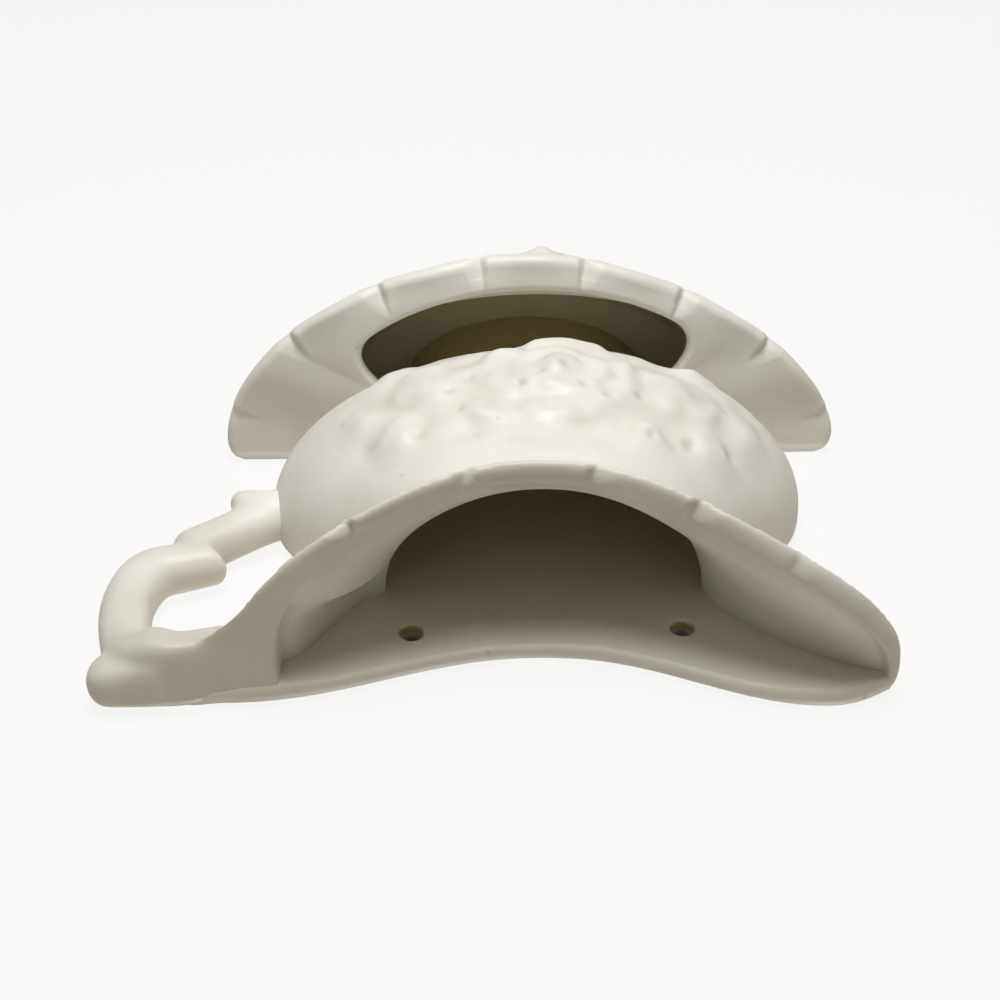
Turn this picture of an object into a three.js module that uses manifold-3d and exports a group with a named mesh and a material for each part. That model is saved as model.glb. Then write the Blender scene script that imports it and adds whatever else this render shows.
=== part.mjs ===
// Wall pocket planter in white glazed earthenware: half a ewer standing in half a wash basin.
// Its flat back hangs against the wall on two screw holes. Flowers go into the mouth of the ewer
// and into the crescent slot between the ewer's belly and the front of the basin's rim.
// Each clay part is cast or pressed by itself and luted to its neighbours with slip.
// Millimetres, +Z up the wall. The back lies on Y = 0 and the front faces -Y.
// Heights below are measured from the underside of the basin's foot, depths from the wall.

import * as THREE from 'three';
import { mergeVertices } from 'three/addons/utils/BufferGeometryUtils.js';
import Module from 'manifold-3d';

const wasm = await Module();
wasm.setup();

// Clay and joints
const WALL = 5; // cast wall of ewer and basin
const BACK = 5; // thickness of the flat back
const LUTE = 0.3; // slip joint between two pieces
const COLLAR_GAP = 0.7; // slip joint where the rim goes round the ewer
const SEAT = BACK + LUTE; // depth at which the shells end on the back

// Ewer: an ellipsoid belly on a waisted foot, with a short neck
const BELLY_HALF = 68.8; // half width at the widest height
const BELLY_DEPTH = 44.6;
const BELLY_HEIGHT = 85;
const BELLY_RISE = 45; // from the widest height to the ellipsoid's pole
const NECK_HALF = 43.5;
const NECK_DEPTH = 42.5;
const NECK_HEIGHT = 124;
const EWER_FOOT_HALF = 34;
const EWER_FOOT_DEPTH = 24;
const SHOULDER_BLEND = 0.16; // softness of the turn from belly to neck and foot

// Basin: a bowl on a foot ring, with a wide flat rim
const RIM_HEIGHT = 52; // top of the rim
const RIM_THICKNESS = 5;
const RIM_HALF = 85;
const RIM_DEPTH = 60;
const RIM_FULLNESS_HANDLE = 1.87; // 2 would be a plain ellipse
const RIM_FULLNESS_SPOUT = 1.66;
const RIM_EDGE_ROUND = 2;
const RIM_OVERHANG = 9; // past the bowl at its ends
const RIM_OVERHANG_FRONT = 6.5;
const BOWL_FOOT_HALF = 46;
const BOWL_FOOT_DEPTH = 32;
const BOWL_SWELL = 0.8;
const FOOT_HEIGHT = 6;
const FOOT_WIDTH = 7;
const FOOT_INSET = 1.5;

// Flared lip of the ewer, drawn out to a spout on one side and to the handle on the other
const LIP_SHIFT = 4; // low point of the saddle, off the middle towards the handle
const SPOUT_INSET = 5; // how far the spout ends inside the end of the basin's rim
const LIP_HANDLE = 72; // reach from the saddle's low point to the handle
const LIP_DEPTH = 54.5;
const LIP_HEIGHT = 145; // height of the saddle's low point
const LIP_WALL = 6.2;
const SPOUT_WALL = 8;
const HANDLE_END_WALL = 15;
const MOUTH_FULLNESS = 2.6; // bluntness of the mouth's end beside the handle
const LIP_CREST = 1.2; // roundness of the lip's edge
const SPOUT_RISE = 19.6;
const SPOUT_PEAK = 67; // where the spout is highest, from the saddle's low point
const SPOUT_SWEEP = 2.5;
const NOSE_DROP = 8;
const HANDLE_RISE = 15;
const HANDLE_PEAK = 68;
const HANDLE_SWEEP = 2;
const FLARE_OUT = 1.4; // how late the lip turns outwards
const FLARE_UP = 1.3; // how soon it rises

// Crescent slot through the rim, in front of the ewer
const SLOT_HANDLE_HALF = 48.5; // to the end beside the handle
const SLOT_SPOUT_HALF = 45.5;
const SLOT_CURVE_HALF = 62; // half width of the ellipse that its front edge follows
const SLOT_DEPTH = 50.5;
const SLOT_TURN = 0.17; // angle over which each end rounds off

// Pinched crimps along the lip and the rim
const CRIMP_PITCH = 28.5;
const CRIMP_HALF = 2;
const CRIMP_HEIGHT = 1.5;
const CRIMP_NOTCH = 1.3;
const CRIMP_REACH = 9; // length of a crimp, from the edge inwards

// Screw holes in the back, inside the ewer's mouth
const HOLE_DIAMETER = 5.2;
const HOLE_SPACING = 64;
const HOLE_HEIGHT = 140.5;

// Handle in the form of a rose stem: a ledge out of the lip, a loop below it and a twig to the belly
const STEM_RADIUS = 6.3;
const STEM_DEPTH = 5.7; // centre of the stem over the wall, where its back is flattened
const LEDGE_HALF_HEIGHT = 5.6; // where the handle grows out of the lip
const LEDGE_HALF_DEPTH = 13.2;
const LEDGE_FRONT_SQUARE = 0.6; // 1 is round, less is squarer
const LEDGE_BACK_SQUARE = 0.1; // where the ledge lies on the wall
const LEDGE_HOLD = 0.3; // shares of the stem between which the ledge thins to the loop
const LEDGE_SPAN = 0.47;
const LEDGE_DROP = 2.9; // the ledge's centre line under the top of the lip's end
const ROOT_SINK = 19; // how far the root's centre line starts inside the lip's end
const ROOT_DIVE = 6.5; // and how far under the ledge
const ROOT_FLARE = 17; // how far the root deepens into the lip
const ROOT_FLARE_SPAN = 0.28;
const HANDLE_OUT = 24.1; // from the lip's end to the outermost place of the loop
const LOOP_RISE = 47.1; // from the belly's widest height up to that place
const LOOP_BEND = 16; // and from there down to the stem's last stretch
const KNUCKLE_START = 0.92; // share of the stem at which its cut end begins
const KNUCKLE_TAPER = 0.9;

// Cut twigs: the main one joins the belly to the stem, a stub grows beside it, and another is
// the cut end of the ledge. Each starts near the belly's widest place or the lip's end.
const MAIN_TWIG = {
  from: { x: -5.8, depth: 6.2, z: 1.8 },
  reach: { x: 27.9, depth: 0, z: 23.7 },
  radius: 5.9,
  taper: 1, // radius at the tip, as a share
};
const LOWER_STUB = {
  from: { x: -2.8, depth: 8, z: 2 },
  reach: { x: 13.8, depth: 2, z: 3.2 },
  radius: 4.3,
  taper: 0.68,
};
const UPPER_STUB = {
  from: { x: 14, depth: 7.6, z: 0.3 },
  reach: { x: 15.2, depth: -0.4, z: 0.4 },
  radius: 6.9,
  taper: 0.97,
};

// Sprigged flowers in low relief
const ROSE_PETALS = 5;
const PETAL_WAVE = 0.16; // how far petals stand out from the bloom's round outline
const ROSE_RELIEF = 3.2;
const BASIN_ROSE_RELIEF = 5.2;
const LEAF_RELIEF = 1.7;
const SPRAY_STEM_RADIUS = 1.3;
const FRONT_ROSES = [
  { name: 'rose_main', x: -4, z: 89, radius: 17.5 },
  { name: 'rose_handle_side', x: 26, z: 87, radius: 8.5 },
  { name: 'rose_spout_side', x: -33, z: 90, radius: 8.5 },
];
const FRONT_LEAVES = [
  { name: 'leaf_handle_1', x: 37, z: 91, length: 19, width: 11, heading: 0.3 },
  { name: 'leaf_handle_2', x: 30, z: 99, length: 17, width: 10, heading: 0.9 },
  { name: 'leaf_handle_3', x: 31, z: 77, length: 17, width: 10, heading: -0.8 },
  { name: 'leaf_handle_4', x: 14, z: 101, length: 16, width: 9, heading: 0.75 },
  { name: 'leaf_spout_1', x: -44, z: 91, length: 18, width: 10, heading: 2.95 },
  { name: 'leaf_spout_2', x: -37, z: 101, length: 17, width: 10, heading: 2.4 },
  { name: 'leaf_spout_3', x: -37, z: 79, length: 17, width: 10, heading: -2.3 },
  { name: 'leaf_spout_4', x: -21, z: 103, length: 15, width: 9, heading: 2.2 },
];
const SPRAY_STEM = { x: 0, z: 66, from: { x: 15, z: -6 }, to: { x: -2, z: 3 }, bow: 3 };
const BASIN_ROSE = { x: -3, z: 34, radius: 10.5 };
const BASIN_LEAVES = [
  { name: 'basin_leaf_handle', x: 10, z: 26, length: 18, width: 9, heading: -0.12 },
  { name: 'basin_leaf_spout', x: -16, z: 26, length: 18, width: 9, heading: 3.26 },
];

// Facets
const ROUND_STEPS = 30; // half way round a vessel
const BODY_STEP = 7; // height of one ring of facets
const FLARE_STEPS = 5;
const BOWL_STEPS = 7;
const SADDLE_STEPS = 24;
const SLOT_STEPS = 6;
const STEM_STEPS = 34;
const STEM_SIDES = 12;
const STUB_SIDES = 12;
const DOME_STEPS = 5;
const PETAL_SIDES = 4; // facets round one petal

const IVORY_GLAZE = 0xe9e6dd;
const SHADED_GLAZE = 0xdedacd;
const RELIEF_GLAZE = 0xefece3;

// Sizes that follow from the ones above
const BOWL_HALF = RIM_HALF - RIM_OVERHANG;
const BOWL_DEPTH = RIM_DEPTH - RIM_OVERHANG_FRONT;
const BOWL_BASE = FOOT_HEIGHT + LUTE;
const BOWL_TOP = RIM_HEIGHT - RIM_THICKNESS - LUTE;
const BOWL_FLOOR = BOWL_BASE + WALL;
const LIP_SPOUT = RIM_HALF - SPOUT_INSET + LIP_SHIFT;
const LIP_END = LIP_SHIFT + LIP_HANDLE;
const LEDGE_HEIGHT = LIP_HEIGHT + HANDLE_RISE - LEDGE_DROP;
const LEDGE_START = place(LIP_END, 0, LEDGE_HEIGHT);
const BELLY_SIDE = place(BELLY_HALF, 0, BELLY_HEIGHT);

function place(x, depth, z) {
  return new THREE.Vector3(x, -depth, z);
}

function mix(from, to, share) {
  return from + (to - from) * share;
}

function steps(count) {
  return Array.from({ length: count + 1 }, (unused, index) => index / count);
}

function smoothMax(a, b, blend) {
  const overlap = Math.max(blend - Math.abs(a - b), 0) / blend;
  return Math.max(a, b) + (overlap * overlap * blend) / 4;
}

// Merges shared corners, drops empty triangles and turns the faces outwards
function closedGeometry(points, triangles) {
  const rough = new THREE.BufferGeometry();
  const numbers = points.flatMap((p) => [p.x, p.y, p.z]);
  rough.setAttribute('position', new THREE.Float32BufferAttribute(numbers, 3));
  rough.setIndex(triangles);
  const merged = mergeVertices(rough, 1e-3);
  const kept = [];
  const index = merged.index.array;
  const corner = (i) => new THREE.Vector3().fromBufferAttribute(merged.attributes.position, i);
  let volume = 0;
  for (let i = 0; i < index.length; i += 3) {
    const [a, b, c] = [index[i], index[i + 1], index[i + 2]];
    if (a === b || b === c || c === a) continue;
    kept.push(a, b, c);
    volume += corner(a).dot(corner(b).cross(corner(c)));
  }
  if (volume < 0) {
    kept.reverse();
  }
  merged.setIndex(kept);
  merged.computeVertexNormals();
  return merged;
}

// A solid through a row of loops. A 'fan' end is closed round its middle, and a 'strip' end,
// the section of a wall, between the points of its two faces.
function loft(loops, ends) {
  const size = loops[0].length;
  const points = loops.flat();
  const triangles = [];
  const at = (loop, k) => loop * size + (k % size);
  const last = loops.length - 1;
  for (let loop = 0; loop < last; loop += 1) {
    for (let k = 0; k < size; k += 1) {
      triangles.push(at(loop, k), at(loop, k + 1), at(loop + 1, k + 1));
      triangles.push(at(loop, k), at(loop + 1, k + 1), at(loop + 1, k));
    }
  }
  const push = (a, b, c, turned) => triangles.push(...(turned ? [a, b, c] : [a, c, b]));
  for (const loop of [0, last]) {
    const turned = loop === last;
    if (ends === 'fan') {
      const middle = new THREE.Vector3();
      loops[loop].forEach((p) => middle.addScaledVector(p, 1 / size));
      points.push(middle);
      for (let k = 0; k < size; k += 1) {
        push(points.length - 1, at(loop, k), at(loop, k + 1), turned);
      }
    } else {
      for (let k = 0; k + 1 < size / 2; k += 1) {
        push(at(loop, k), at(loop, k + 1), at(loop, size - 2 - k), turned);
        push(at(loop, k), at(loop, size - 2 - k), at(loop, size - 1 - k), turned);
      }
    }
  }
  return closedGeometry(points, triangles);
}

function toSolid(geometry) {
  const bare = geometry.clone();
  bare.deleteAttribute('normal');
  bare.deleteAttribute('uv');
  const merged = mergeVertices(bare, 1e-3);
  const vertProperties = new Float32Array(merged.attributes.position.array);
  const triVerts = new Uint32Array(merged.index.array);
  return new wasm.Manifold(new wasm.Mesh({ numProp: 3, vertProperties, triVerts }));
}

function fromSolid(solid) {
  const mesh = solid.getMesh();
  const geometry = new THREE.BufferGeometry();
  geometry.setAttribute('position', new THREE.Float32BufferAttribute(mesh.vertProperties, 3));
  geometry.setIndex(Array.from(mesh.triVerts));
  geometry.computeVertexNormals();
  return geometry;
}

function joined(...geometries) {
  return fromSolid(geometries.map(toSolid).reduce((left, right) => left.add(right)));
}

function cutAway(geometry, ...tools) {
  const solid = tools.reduce((left, tool) => left.subtract(toSolid(tool)), toSolid(geometry));
  return fromSolid(solid);
}

// Outer surfaces. t runs from 0 at the handle's side, through the front, to pi at the spout's side.

// A point of a half oval on the back: fullness 2 is an ellipse, more is blunter
function halfRing(t, half, depth, z, fullness = 2) {
  const across = Math.sign(Math.cos(t)) * Math.abs(Math.cos(t)) ** (2 / fullness);
  const forward = Math.abs(Math.sin(t)) ** (2 / fullness);
  return place(half * across, SEAT + (depth - SEAT) * forward, z);
}

// One measure of the ewer's section at a height, from its belly to its neck or foot
function ewerProfile(z, belly, neck, foot) {
  const u = (z - BELLY_HEIGHT) / BELLY_RISE;
  const ellipse = Math.sqrt(Math.max(1 - u * u, 0));
  const waist = (z > BELLY_HEIGHT ? neck : foot) / belly;
  return belly * smoothMax(ellipse, waist, SHOULDER_BLEND);
}

function ewerSurface(t, z, offset = 0) {
  const half = ewerProfile(z, BELLY_HALF, NECK_HALF, EWER_FOOT_HALF) + offset;
  const depth = ewerProfile(z, BELLY_DEPTH, NECK_DEPTH, EWER_FOOT_DEPTH) + offset;
  return halfRing(t, half, depth, z);
}

function saddle(x) {
  const away = x - LIP_SHIFT;
  const reach = Math.abs(away);
  if (away > 0) {
    const share = Math.min(reach / HANDLE_PEAK, 1);
    return LIP_HEIGHT + HANDLE_RISE * Math.sin((share * Math.PI) / 2) ** HANDLE_SWEEP;
  }
  const share = Math.min(reach / SPOUT_PEAK, 1);
  const past = Math.max(reach - SPOUT_PEAK, 0) / Math.max(LIP_SPOUT - SPOUT_PEAK, LIP_WALL);
  return LIP_HEIGHT + SPOUT_RISE * Math.sin((share * Math.PI) / 2) ** SPOUT_SWEEP - NOSE_DROP * past * past;
}

function lipPlan(t, offset = 0) {
  const reach = (Math.cos(t) > 0 ? LIP_HANDLE : LIP_SPOUT) + offset;
  return halfRing(t, reach, LIP_DEPTH + offset, 0).add(place(LIP_SHIFT, 0, 0));
}

function mouthPlan(t) {
  const handleSide = Math.cos(t) > 0;
  const reach = handleSide ? LIP_HANDLE - HANDLE_END_WALL : LIP_SPOUT - SPOUT_WALL;
  const fullness = handleSide ? MOUTH_FULLNESS : 2;
  return halfRing(t, reach, LIP_DEPTH - LIP_WALL, 0, fullness).add(place(LIP_SHIFT, 0, 0));
}

// The flare from the neck, v = 0, to the lip's edge, v = 1
function lipFlare(t, v, neck, edge) {
  const foot = ewerSurface(t, NECK_HEIGHT, neck);
  const out = v ** FLARE_OUT;
  const up = 1 - (1 - v) ** FLARE_UP;
  const point = foot.clone().lerp(edge, out);
  point.z = mix(NECK_HEIGHT + LUTE, saddle(edge.x), up);
  return point;
}

function lipSurface(t, v, offset = 0) {
  return lipFlare(t, v, offset, lipPlan(t, offset));
}

function lipInside(t, v) {
  return lipFlare(t, v, -WALL, mouthPlan(t));
}

function bowlSurface(t, z, offset = 0) {
  const u = Math.min(Math.max((z - BOWL_BASE) / (BOWL_TOP - BOWL_BASE), 0), 1);
  const swell = Math.sin((u * Math.PI) / 2) ** BOWL_SWELL;
  const half = mix(BOWL_FOOT_HALF, BOWL_HALF, swell) + offset;
  return halfRing(t, half, mix(BOWL_FOOT_DEPTH, BOWL_DEPTH, swell) + offset, z);
}

function rimPlan(t, offset = 0) {
  const fullness = Math.cos(t) > 0 ? RIM_FULLNESS_HANDLE : RIM_FULLNESS_SPOUT;
  return halfRing(t, RIM_HALF + offset, RIM_DEPTH + offset, 0, fullness);
}

// Stations along a crimped edge, equal arcs apart from the middle of the front to both ends.
// pinch is 1 on a crimp and 0 beside it.
function crimpedStations(plan) {
  const fine = 400;
  const stations = [{ t: Math.PI / 2, pinch: 0 }];
  const offsets = [
    { along: CRIMP_PITCH / 4, pinch: 0 },
    { along: CRIMP_PITCH / 2 - CRIMP_HALF, pinch: 0 },
    { along: CRIMP_PITCH / 2, pinch: 1 },
    { along: CRIMP_PITCH / 2 + CRIMP_HALF, pinch: 0 },
    { along: (CRIMP_PITCH * 3) / 4, pinch: 0 },
    { along: CRIMP_PITCH, pinch: 0 },
  ];
  for (const end of [0, Math.PI]) {
    let travelled = 0;
    let lobe = 0;
    let next = 0;
    let before = plan(Math.PI / 2);
    for (let i = 1; i < fine; i += 1) {
      const t = mix(Math.PI / 2, end, i / fine);
      const here = plan(t);
      travelled += here.distanceTo(before);
      before = here;
      if (travelled >= lobe * CRIMP_PITCH + offsets[next].along) {
        stations.push({ t, pinch: offsets[next].pinch });
        next = (next + 1) % offsets.length;
        lobe += next === 0 ? 1 : 0;
      }
    }
    stations.push({ t: end, pinch: 0 });
  }
  return stations.sort((a, b) => a.t - b.t);
}

// Flat back: the outline of ewer and basin together, with the screw holes

function backOutline() {
  const side = (t) => {
    const sign = Math.cos(t);
    const rimFoot = RIM_HEIGHT - RIM_THICKNESS;
    const bowl = steps(BOWL_STEPS).map((share) => bowlSurface(t, mix(BOWL_BASE, BOWL_TOP, share)));
    const rim = [
      place(sign * (RIM_HALF - RIM_EDGE_ROUND), 0, rimFoot),
      place(sign * RIM_HALF, 0, rimFoot + RIM_EDGE_ROUND),
      place(sign * RIM_HALF, 0, RIM_HEIGHT - RIM_EDGE_ROUND),
      place(sign * (RIM_HALF - RIM_EDGE_ROUND), 0, RIM_HEIGHT),
    ];
    const bellyFoot = RIM_HEIGHT + LUTE;
    const rings = Math.ceil((NECK_HEIGHT - bellyFoot) / BODY_STEP);
    const belly = steps(rings).map((share) => ewerSurface(t, mix(bellyFoot, NECK_HEIGHT, share)));
    const flare = steps(FLARE_STEPS).map((v) => lipSurface(t, v));
    return [place(sign * (BOWL_FOOT_HALF - FOOT_INSET), 0, 0), ...bowl, ...rim, ...belly, ...flare];
  };
  const right = side(0);
  const left = side(Math.PI);
  const highRight = right[right.length - 1].x;
  const highLeft = left[left.length - 1].x;
  const top = steps(SADDLE_STEPS).slice(1, -1).map((share) => {
    const x = mix(highRight, highLeft, share);
    return place(x, 0, saddle(x));
  });
  return [...right, ...top, ...left.reverse()].map((p) => new THREE.Vector2(p.x, p.z));
}

function backSlab() {
  const shape = new THREE.Shape(backOutline());
  for (const x of [-HOLE_SPACING / 2, HOLE_SPACING / 2]) {
    shape.holes.push(new THREE.Path().absarc(x, HOLE_HEIGHT, HOLE_DIAMETER / 2, 0, Math.PI * 2, true));
  }
  const slab = new THREE.ExtrudeGeometry(shape, { depth: BACK, bevelEnabled: false, curveSegments: 10 });
  return slab.rotateX(Math.PI / 2);
}

// Ewer: belly with its foot, and the flared lip

function ewerHeights() {
  const foot = BOWL_FLOOR + LUTE;
  const count = Math.ceil((NECK_HEIGHT - foot) / BODY_STEP);
  return steps(count).map((share) => mix(foot, NECK_HEIGHT, share));
}

function ewerBody() {
  const heights = ewerHeights();
  const loops = steps(ROUND_STEPS).map((share) => {
    const t = share * Math.PI;
    const outside = heights.map((z) => ewerSurface(t, z));
    const inside = heights.map((z) => ewerSurface(t, z, -WALL)).reverse();
    return [...outside, ...inside];
  });
  return loft(loops, 'strip');
}

// The space that the ewer and its back fill, with a slip joint round it
function ewerSpace() {
  const behind = -BACK;
  const loops = ewerHeights().map((z) => {
    const round = steps(ROUND_STEPS).map((share) => ewerSurface(share * Math.PI, z, LUTE));
    const half = round[0].x;
    return [place(half, behind, z), ...round, place(-half, behind, z)];
  });
  return loft(loops, 'fan');
}

function lipSpace() {
  const behind = -BACK;
  const loops = steps(FLARE_STEPS).map((v) => {
    const round = steps(ROUND_STEPS).map((share) => lipSurface(share * Math.PI, v, LUTE));
    const first = round[0];
    const last = round[round.length - 1];
    return [place(first.x, behind, first.z), ...round, place(last.x, behind, last.z)];
  });
  const raised = loops[loops.length - 1].map((p) => p.clone().add(place(0, 0, LEDGE_HALF_HEIGHT)));
  return loft([...loops, raised], 'fan');
}

function ewerLip() {
  const loops = crimpedStations(lipPlan).map(({ t, pinch }) => {
    const flare = steps(FLARE_STEPS);
    const outside = flare.map((v) => lipSurface(t, v, -pinch * CRIMP_NOTCH * v ** 4));
    const inside = flare.map((v) => lipInside(t, v)).reverse();
    const edge = outside[outside.length - 1];
    const rolled = [0.25, 0.75].map((share) => {
      const crest = edge.clone().lerp(inside[0], share);
      crest.z += LIP_CREST + pinch * CRIMP_HEIGHT;
      return crest;
    });
    return [...outside, ...rolled, ...inside];
  });
  return loft(loops, 'strip');
}

// Basin: bowl, foot ring and the crimped rim with its slot

function basinBowl() {
  const heights = steps(BOWL_STEPS).map((share) => mix(BOWL_BASE, BOWL_TOP, share));
  const loops = steps(ROUND_STEPS).map((share) => {
    const t = share * Math.PI;
    const outside = heights.map((z) => bowlSurface(t, z));
    const inside = heights.map((z) => {
      const wall = bowlSurface(t, z, -WALL);
      wall.z = Math.max(z, BOWL_FLOOR);
      return wall;
    });
    return [place(0, SEAT, BOWL_BASE), ...outside, ...inside.reverse(), place(0, SEAT, BOWL_FLOOR)];
  });
  return loft(loops, 'strip');
}

function basinFoot() {
  const loops = steps(ROUND_STEPS).map((share) => {
    const t = share * Math.PI;
    const outer = BOWL_FOOT_HALF - FOOT_INSET;
    const depth = BOWL_FOOT_DEPTH - FOOT_INSET;
    return [
      halfRing(t, outer, depth, 0),
      halfRing(t, outer, depth, FOOT_HEIGHT),
      halfRing(t, outer - FOOT_WIDTH, depth - FOOT_WIDTH, FOOT_HEIGHT),
      halfRing(t, outer - FOOT_WIDTH, depth - FOOT_WIDTH, 0),
    ];
  });
  return loft(loops, 'strip');
}

const SLOT_HANDLE_END = Math.acos(SLOT_HANDLE_HALF / SLOT_CURVE_HALF);
const SLOT_SPOUT_END = Math.PI - Math.acos(SLOT_SPOUT_HALF / SLOT_CURVE_HALF);

// 0 beside the ewer and 1 along the slot, whose front edge rounds into each end
function slotShare(t) {
  const inside = Math.min(t - SLOT_HANDLE_END, SLOT_SPOUT_END - t);
  const turned = THREE.MathUtils.clamp(inside / SLOT_TURN, 0, 1);
  return Math.sqrt(1 - (1 - turned) ** 2);
}

function rimStations() {
  const stations = crimpedStations(rimPlan);
  for (const share of steps(SLOT_STEPS)) {
    const turned = SLOT_TURN * share ** 2;
    stations.push({ t: SLOT_HANDLE_END + turned, pinch: 0 }, { t: SLOT_SPOUT_END - turned, pinch: 0 });
  }
  return stations.sort((a, b) => a.t - b.t);
}

function basinRim() {
  const loops = rimStations().map(({ t, pinch }) => {
    const outer = rimPlan(t, -pinch * CRIMP_NOTCH);
    const besideEwer = ewerSurface(t, RIM_HEIGHT, COLLAR_GAP);
    const alongSlot = halfRing(t, SLOT_CURVE_HALF, SLOT_DEPTH, 0);
    const inner = besideEwer.lerp(alongSlot, slotShare(t));
    const width = Math.hypot(outer.x - inner.x, outer.y - inner.y);
    const at = (fromInner, drop, lift) => {
      const point = inner.clone().lerp(outer, fromInner / width);
      point.z = RIM_HEIGHT - drop + lift * pinch * CRIMP_HEIGHT;
      return point;
    };
    const round = RIM_EDGE_ROUND;
    const crimpEnd = width - Math.min(CRIMP_REACH, width / 2);
    return [
      at(round, RIM_THICKNESS, 0),
      at(width / 2, RIM_THICKNESS, 0),
      at(width - round, RIM_THICKNESS, 0),
      at(width, RIM_THICKNESS - round, 0.5),
      at(width, round, 1),
      at(width - round, 0, 1),
      at(crimpEnd, 0, 0),
      at((crimpEnd + round) / 2, 0, 0),
      at(round, 0, 0),
      at(0, round, 0),
    ];
  });
  return loft(loops, 'strip');
}

// Handle: a rose stem that leaves the lip, loops down and ends cut off beside its twig

// The centre line runs out along the ledge, down the loop and back towards the belly
function handleRoute() {
  const outer = LIP_END + HANDLE_OUT;
  const middle = BELLY_HEIGHT + LOOP_RISE;
  const along = (x, z) => place(x, STEM_DEPTH, z);
  return [
    along(LIP_END - ROOT_SINK, LEDGE_HEIGHT - ROOT_DIVE),
    along(LIP_END - ROOT_SINK / 2, LEDGE_HEIGHT - ROOT_DIVE / 4),
    along(LIP_END + 0.43 * HANDLE_OUT, LEDGE_HEIGHT + 0.1 * ROOT_DIVE),
    along(outer - 0.24 * HANDLE_OUT, mix(LEDGE_HEIGHT, middle, 0.1)),
    along(outer - 0.1 * HANDLE_OUT, mix(LEDGE_HEIGHT, middle, 0.46)),
    along(outer, middle),
    along(outer - 0.05 * HANDLE_OUT, middle - 0.62 * LOOP_BEND),
    along(outer - 0.19 * HANDLE_OUT, middle - LOOP_BEND),
    along(outer - 0.44 * HANDLE_OUT, middle - 1.15 * LOOP_BEND),
    along(outer - 0.88 * HANDLE_OUT, middle - 1.34 * LOOP_BEND),
  ];
}

const handleCurve = new THREE.CatmullRomCurve3(handleRoute(), false, 'centripetal');

// A section of the handle, broad in the ledge and flattened where it lies against the wall
function stemLoop(u, proud) {
  const centre = handleCurve.getPointAt(u);
  const outwards = place(0, 1, 0);
  const sideways = new THREE.Vector3().crossVectors(handleCurve.getTangentAt(u), outwards).normalize();
  const ledge = 1 - THREE.MathUtils.smoothstep(u, LEDGE_HOLD, LEDGE_SPAN);
  const onWall = 1 - THREE.MathUtils.smoothstep(u, LEDGE_SPAN, 1);
  const flare = ROOT_FLARE * Math.max(1 - u / ROOT_FLARE_SPAN, 0) ** 2;
  const high = mix(STEM_RADIUS, LEDGE_HALF_HEIGHT, ledge) + proud;
  const deep = mix(STEM_RADIUS, LEDGE_HALF_DEPTH + flare, ledge) + proud;
  const power = (wave, square) => Math.sign(wave) * Math.abs(wave) ** square;
  return steps(STEM_SIDES).slice(1).map((share) => {
    const angle = share * Math.PI * 2;
    const front = mix(1, LEDGE_FRONT_SQUARE, ledge);
    const behind = Math.sin(angle) < 0;
    const aside = power(Math.cos(angle), behind ? mix(1, LEDGE_BACK_SQUARE, onWall) : front);
    const forward = power(Math.sin(angle), behind ? 1 : front);
    const point = centre.clone();
    point.addScaledVector(sideways, high * aside);
    point.addScaledVector(outwards, deep * forward);
    point.y = Math.min(point.y, 0);
    return point;
  });
}

// A round twig that ends in a blunt dome
function cutTwig(anchor, { from, reach, radius, taper }, proud = 0) {
  const base = anchor.clone().add(place(from.x, from.depth, from.z));
  const direction = place(reach.x, reach.depth, reach.z);
  const long = direction.length() + proud;
  direction.normalize();
  const sideways = new THREE.Vector3().crossVectors(direction, place(0, 1, 0)).normalize();
  const upwards = new THREE.Vector3().crossVectors(sideways, direction);
  const tip = radius * taper + proud;
  const dome = steps(DOME_STEPS).slice(0, -1).map((share) => {
    const turn = (share * Math.PI) / 2;
    return { along: long - tip * (1 - Math.sin(turn)), wide: tip * Math.cos(turn) };
  });
  const rings = [{ along: 0, wide: radius + proud }, ...dome];
  const loops = rings.map(({ along, wide }) => steps(STUB_SIDES).slice(1).map((share) => {
    const angle = share * Math.PI * 2;
    const point = base.clone().addScaledVector(direction, along);
    point.addScaledVector(sideways, wide * Math.cos(angle));
    return point.addScaledVector(upwards, wide * Math.sin(angle));
  }));
  return loft(loops, 'fan');
}

// The spaces that stem and twig fill, with a slip joint round them and open to the wall
function stemSpaces() {
  const behind = place(0, -BACK, 0);
  const end = KNUCKLE_START + LUTE / handleCurve.getLength();
  const loops = steps(STEM_STEPS).map((share) => {
    const section = stemLoop(share * end, LUTE);
    return section.map((p) => (p.y < 0 ? p : p.add(behind)));
  });
  return [loft(loops, 'fan'), cutTwig(BELLY_SIDE, MAIN_TWIG, LUTE)];
}

function handleStem() {
  const loops = steps(STEM_STEPS).map((share) => stemLoop(share * KNUCKLE_START, 0));
  const stem = joined(loft(loops, 'fan'), cutTwig(BELLY_SIDE, MAIN_TWIG));
  return cutAway(stem, ewerSpace(), lipSpace());
}

// The stem's cut end, which stands out beside the twig
function handleKnuckle() {
  const loops = steps(DOME_STEPS).map((share) => {
    const rounded = mix(1, KNUCKLE_TAPER, share) * Math.sqrt(1 - 0.7 * share ** 6);
    return stemLoop(mix(KNUCKLE_START, 1, Math.sqrt(share)), STEM_RADIUS * (rounded - 1));
  });
  return cutAway(loft(loops, 'fan'), ...stemSpaces());
}

function twigStub(anchor, twig) {
  return cutAway(cutTwig(anchor, twig), ...stemSpaces(), ewerSpace());
}

// Sprigs: pressed flowers, leaves and stems that lie on a vessel's outer surface.
// A patch turns millimetres across, up and off the surface into a place on it.

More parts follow.
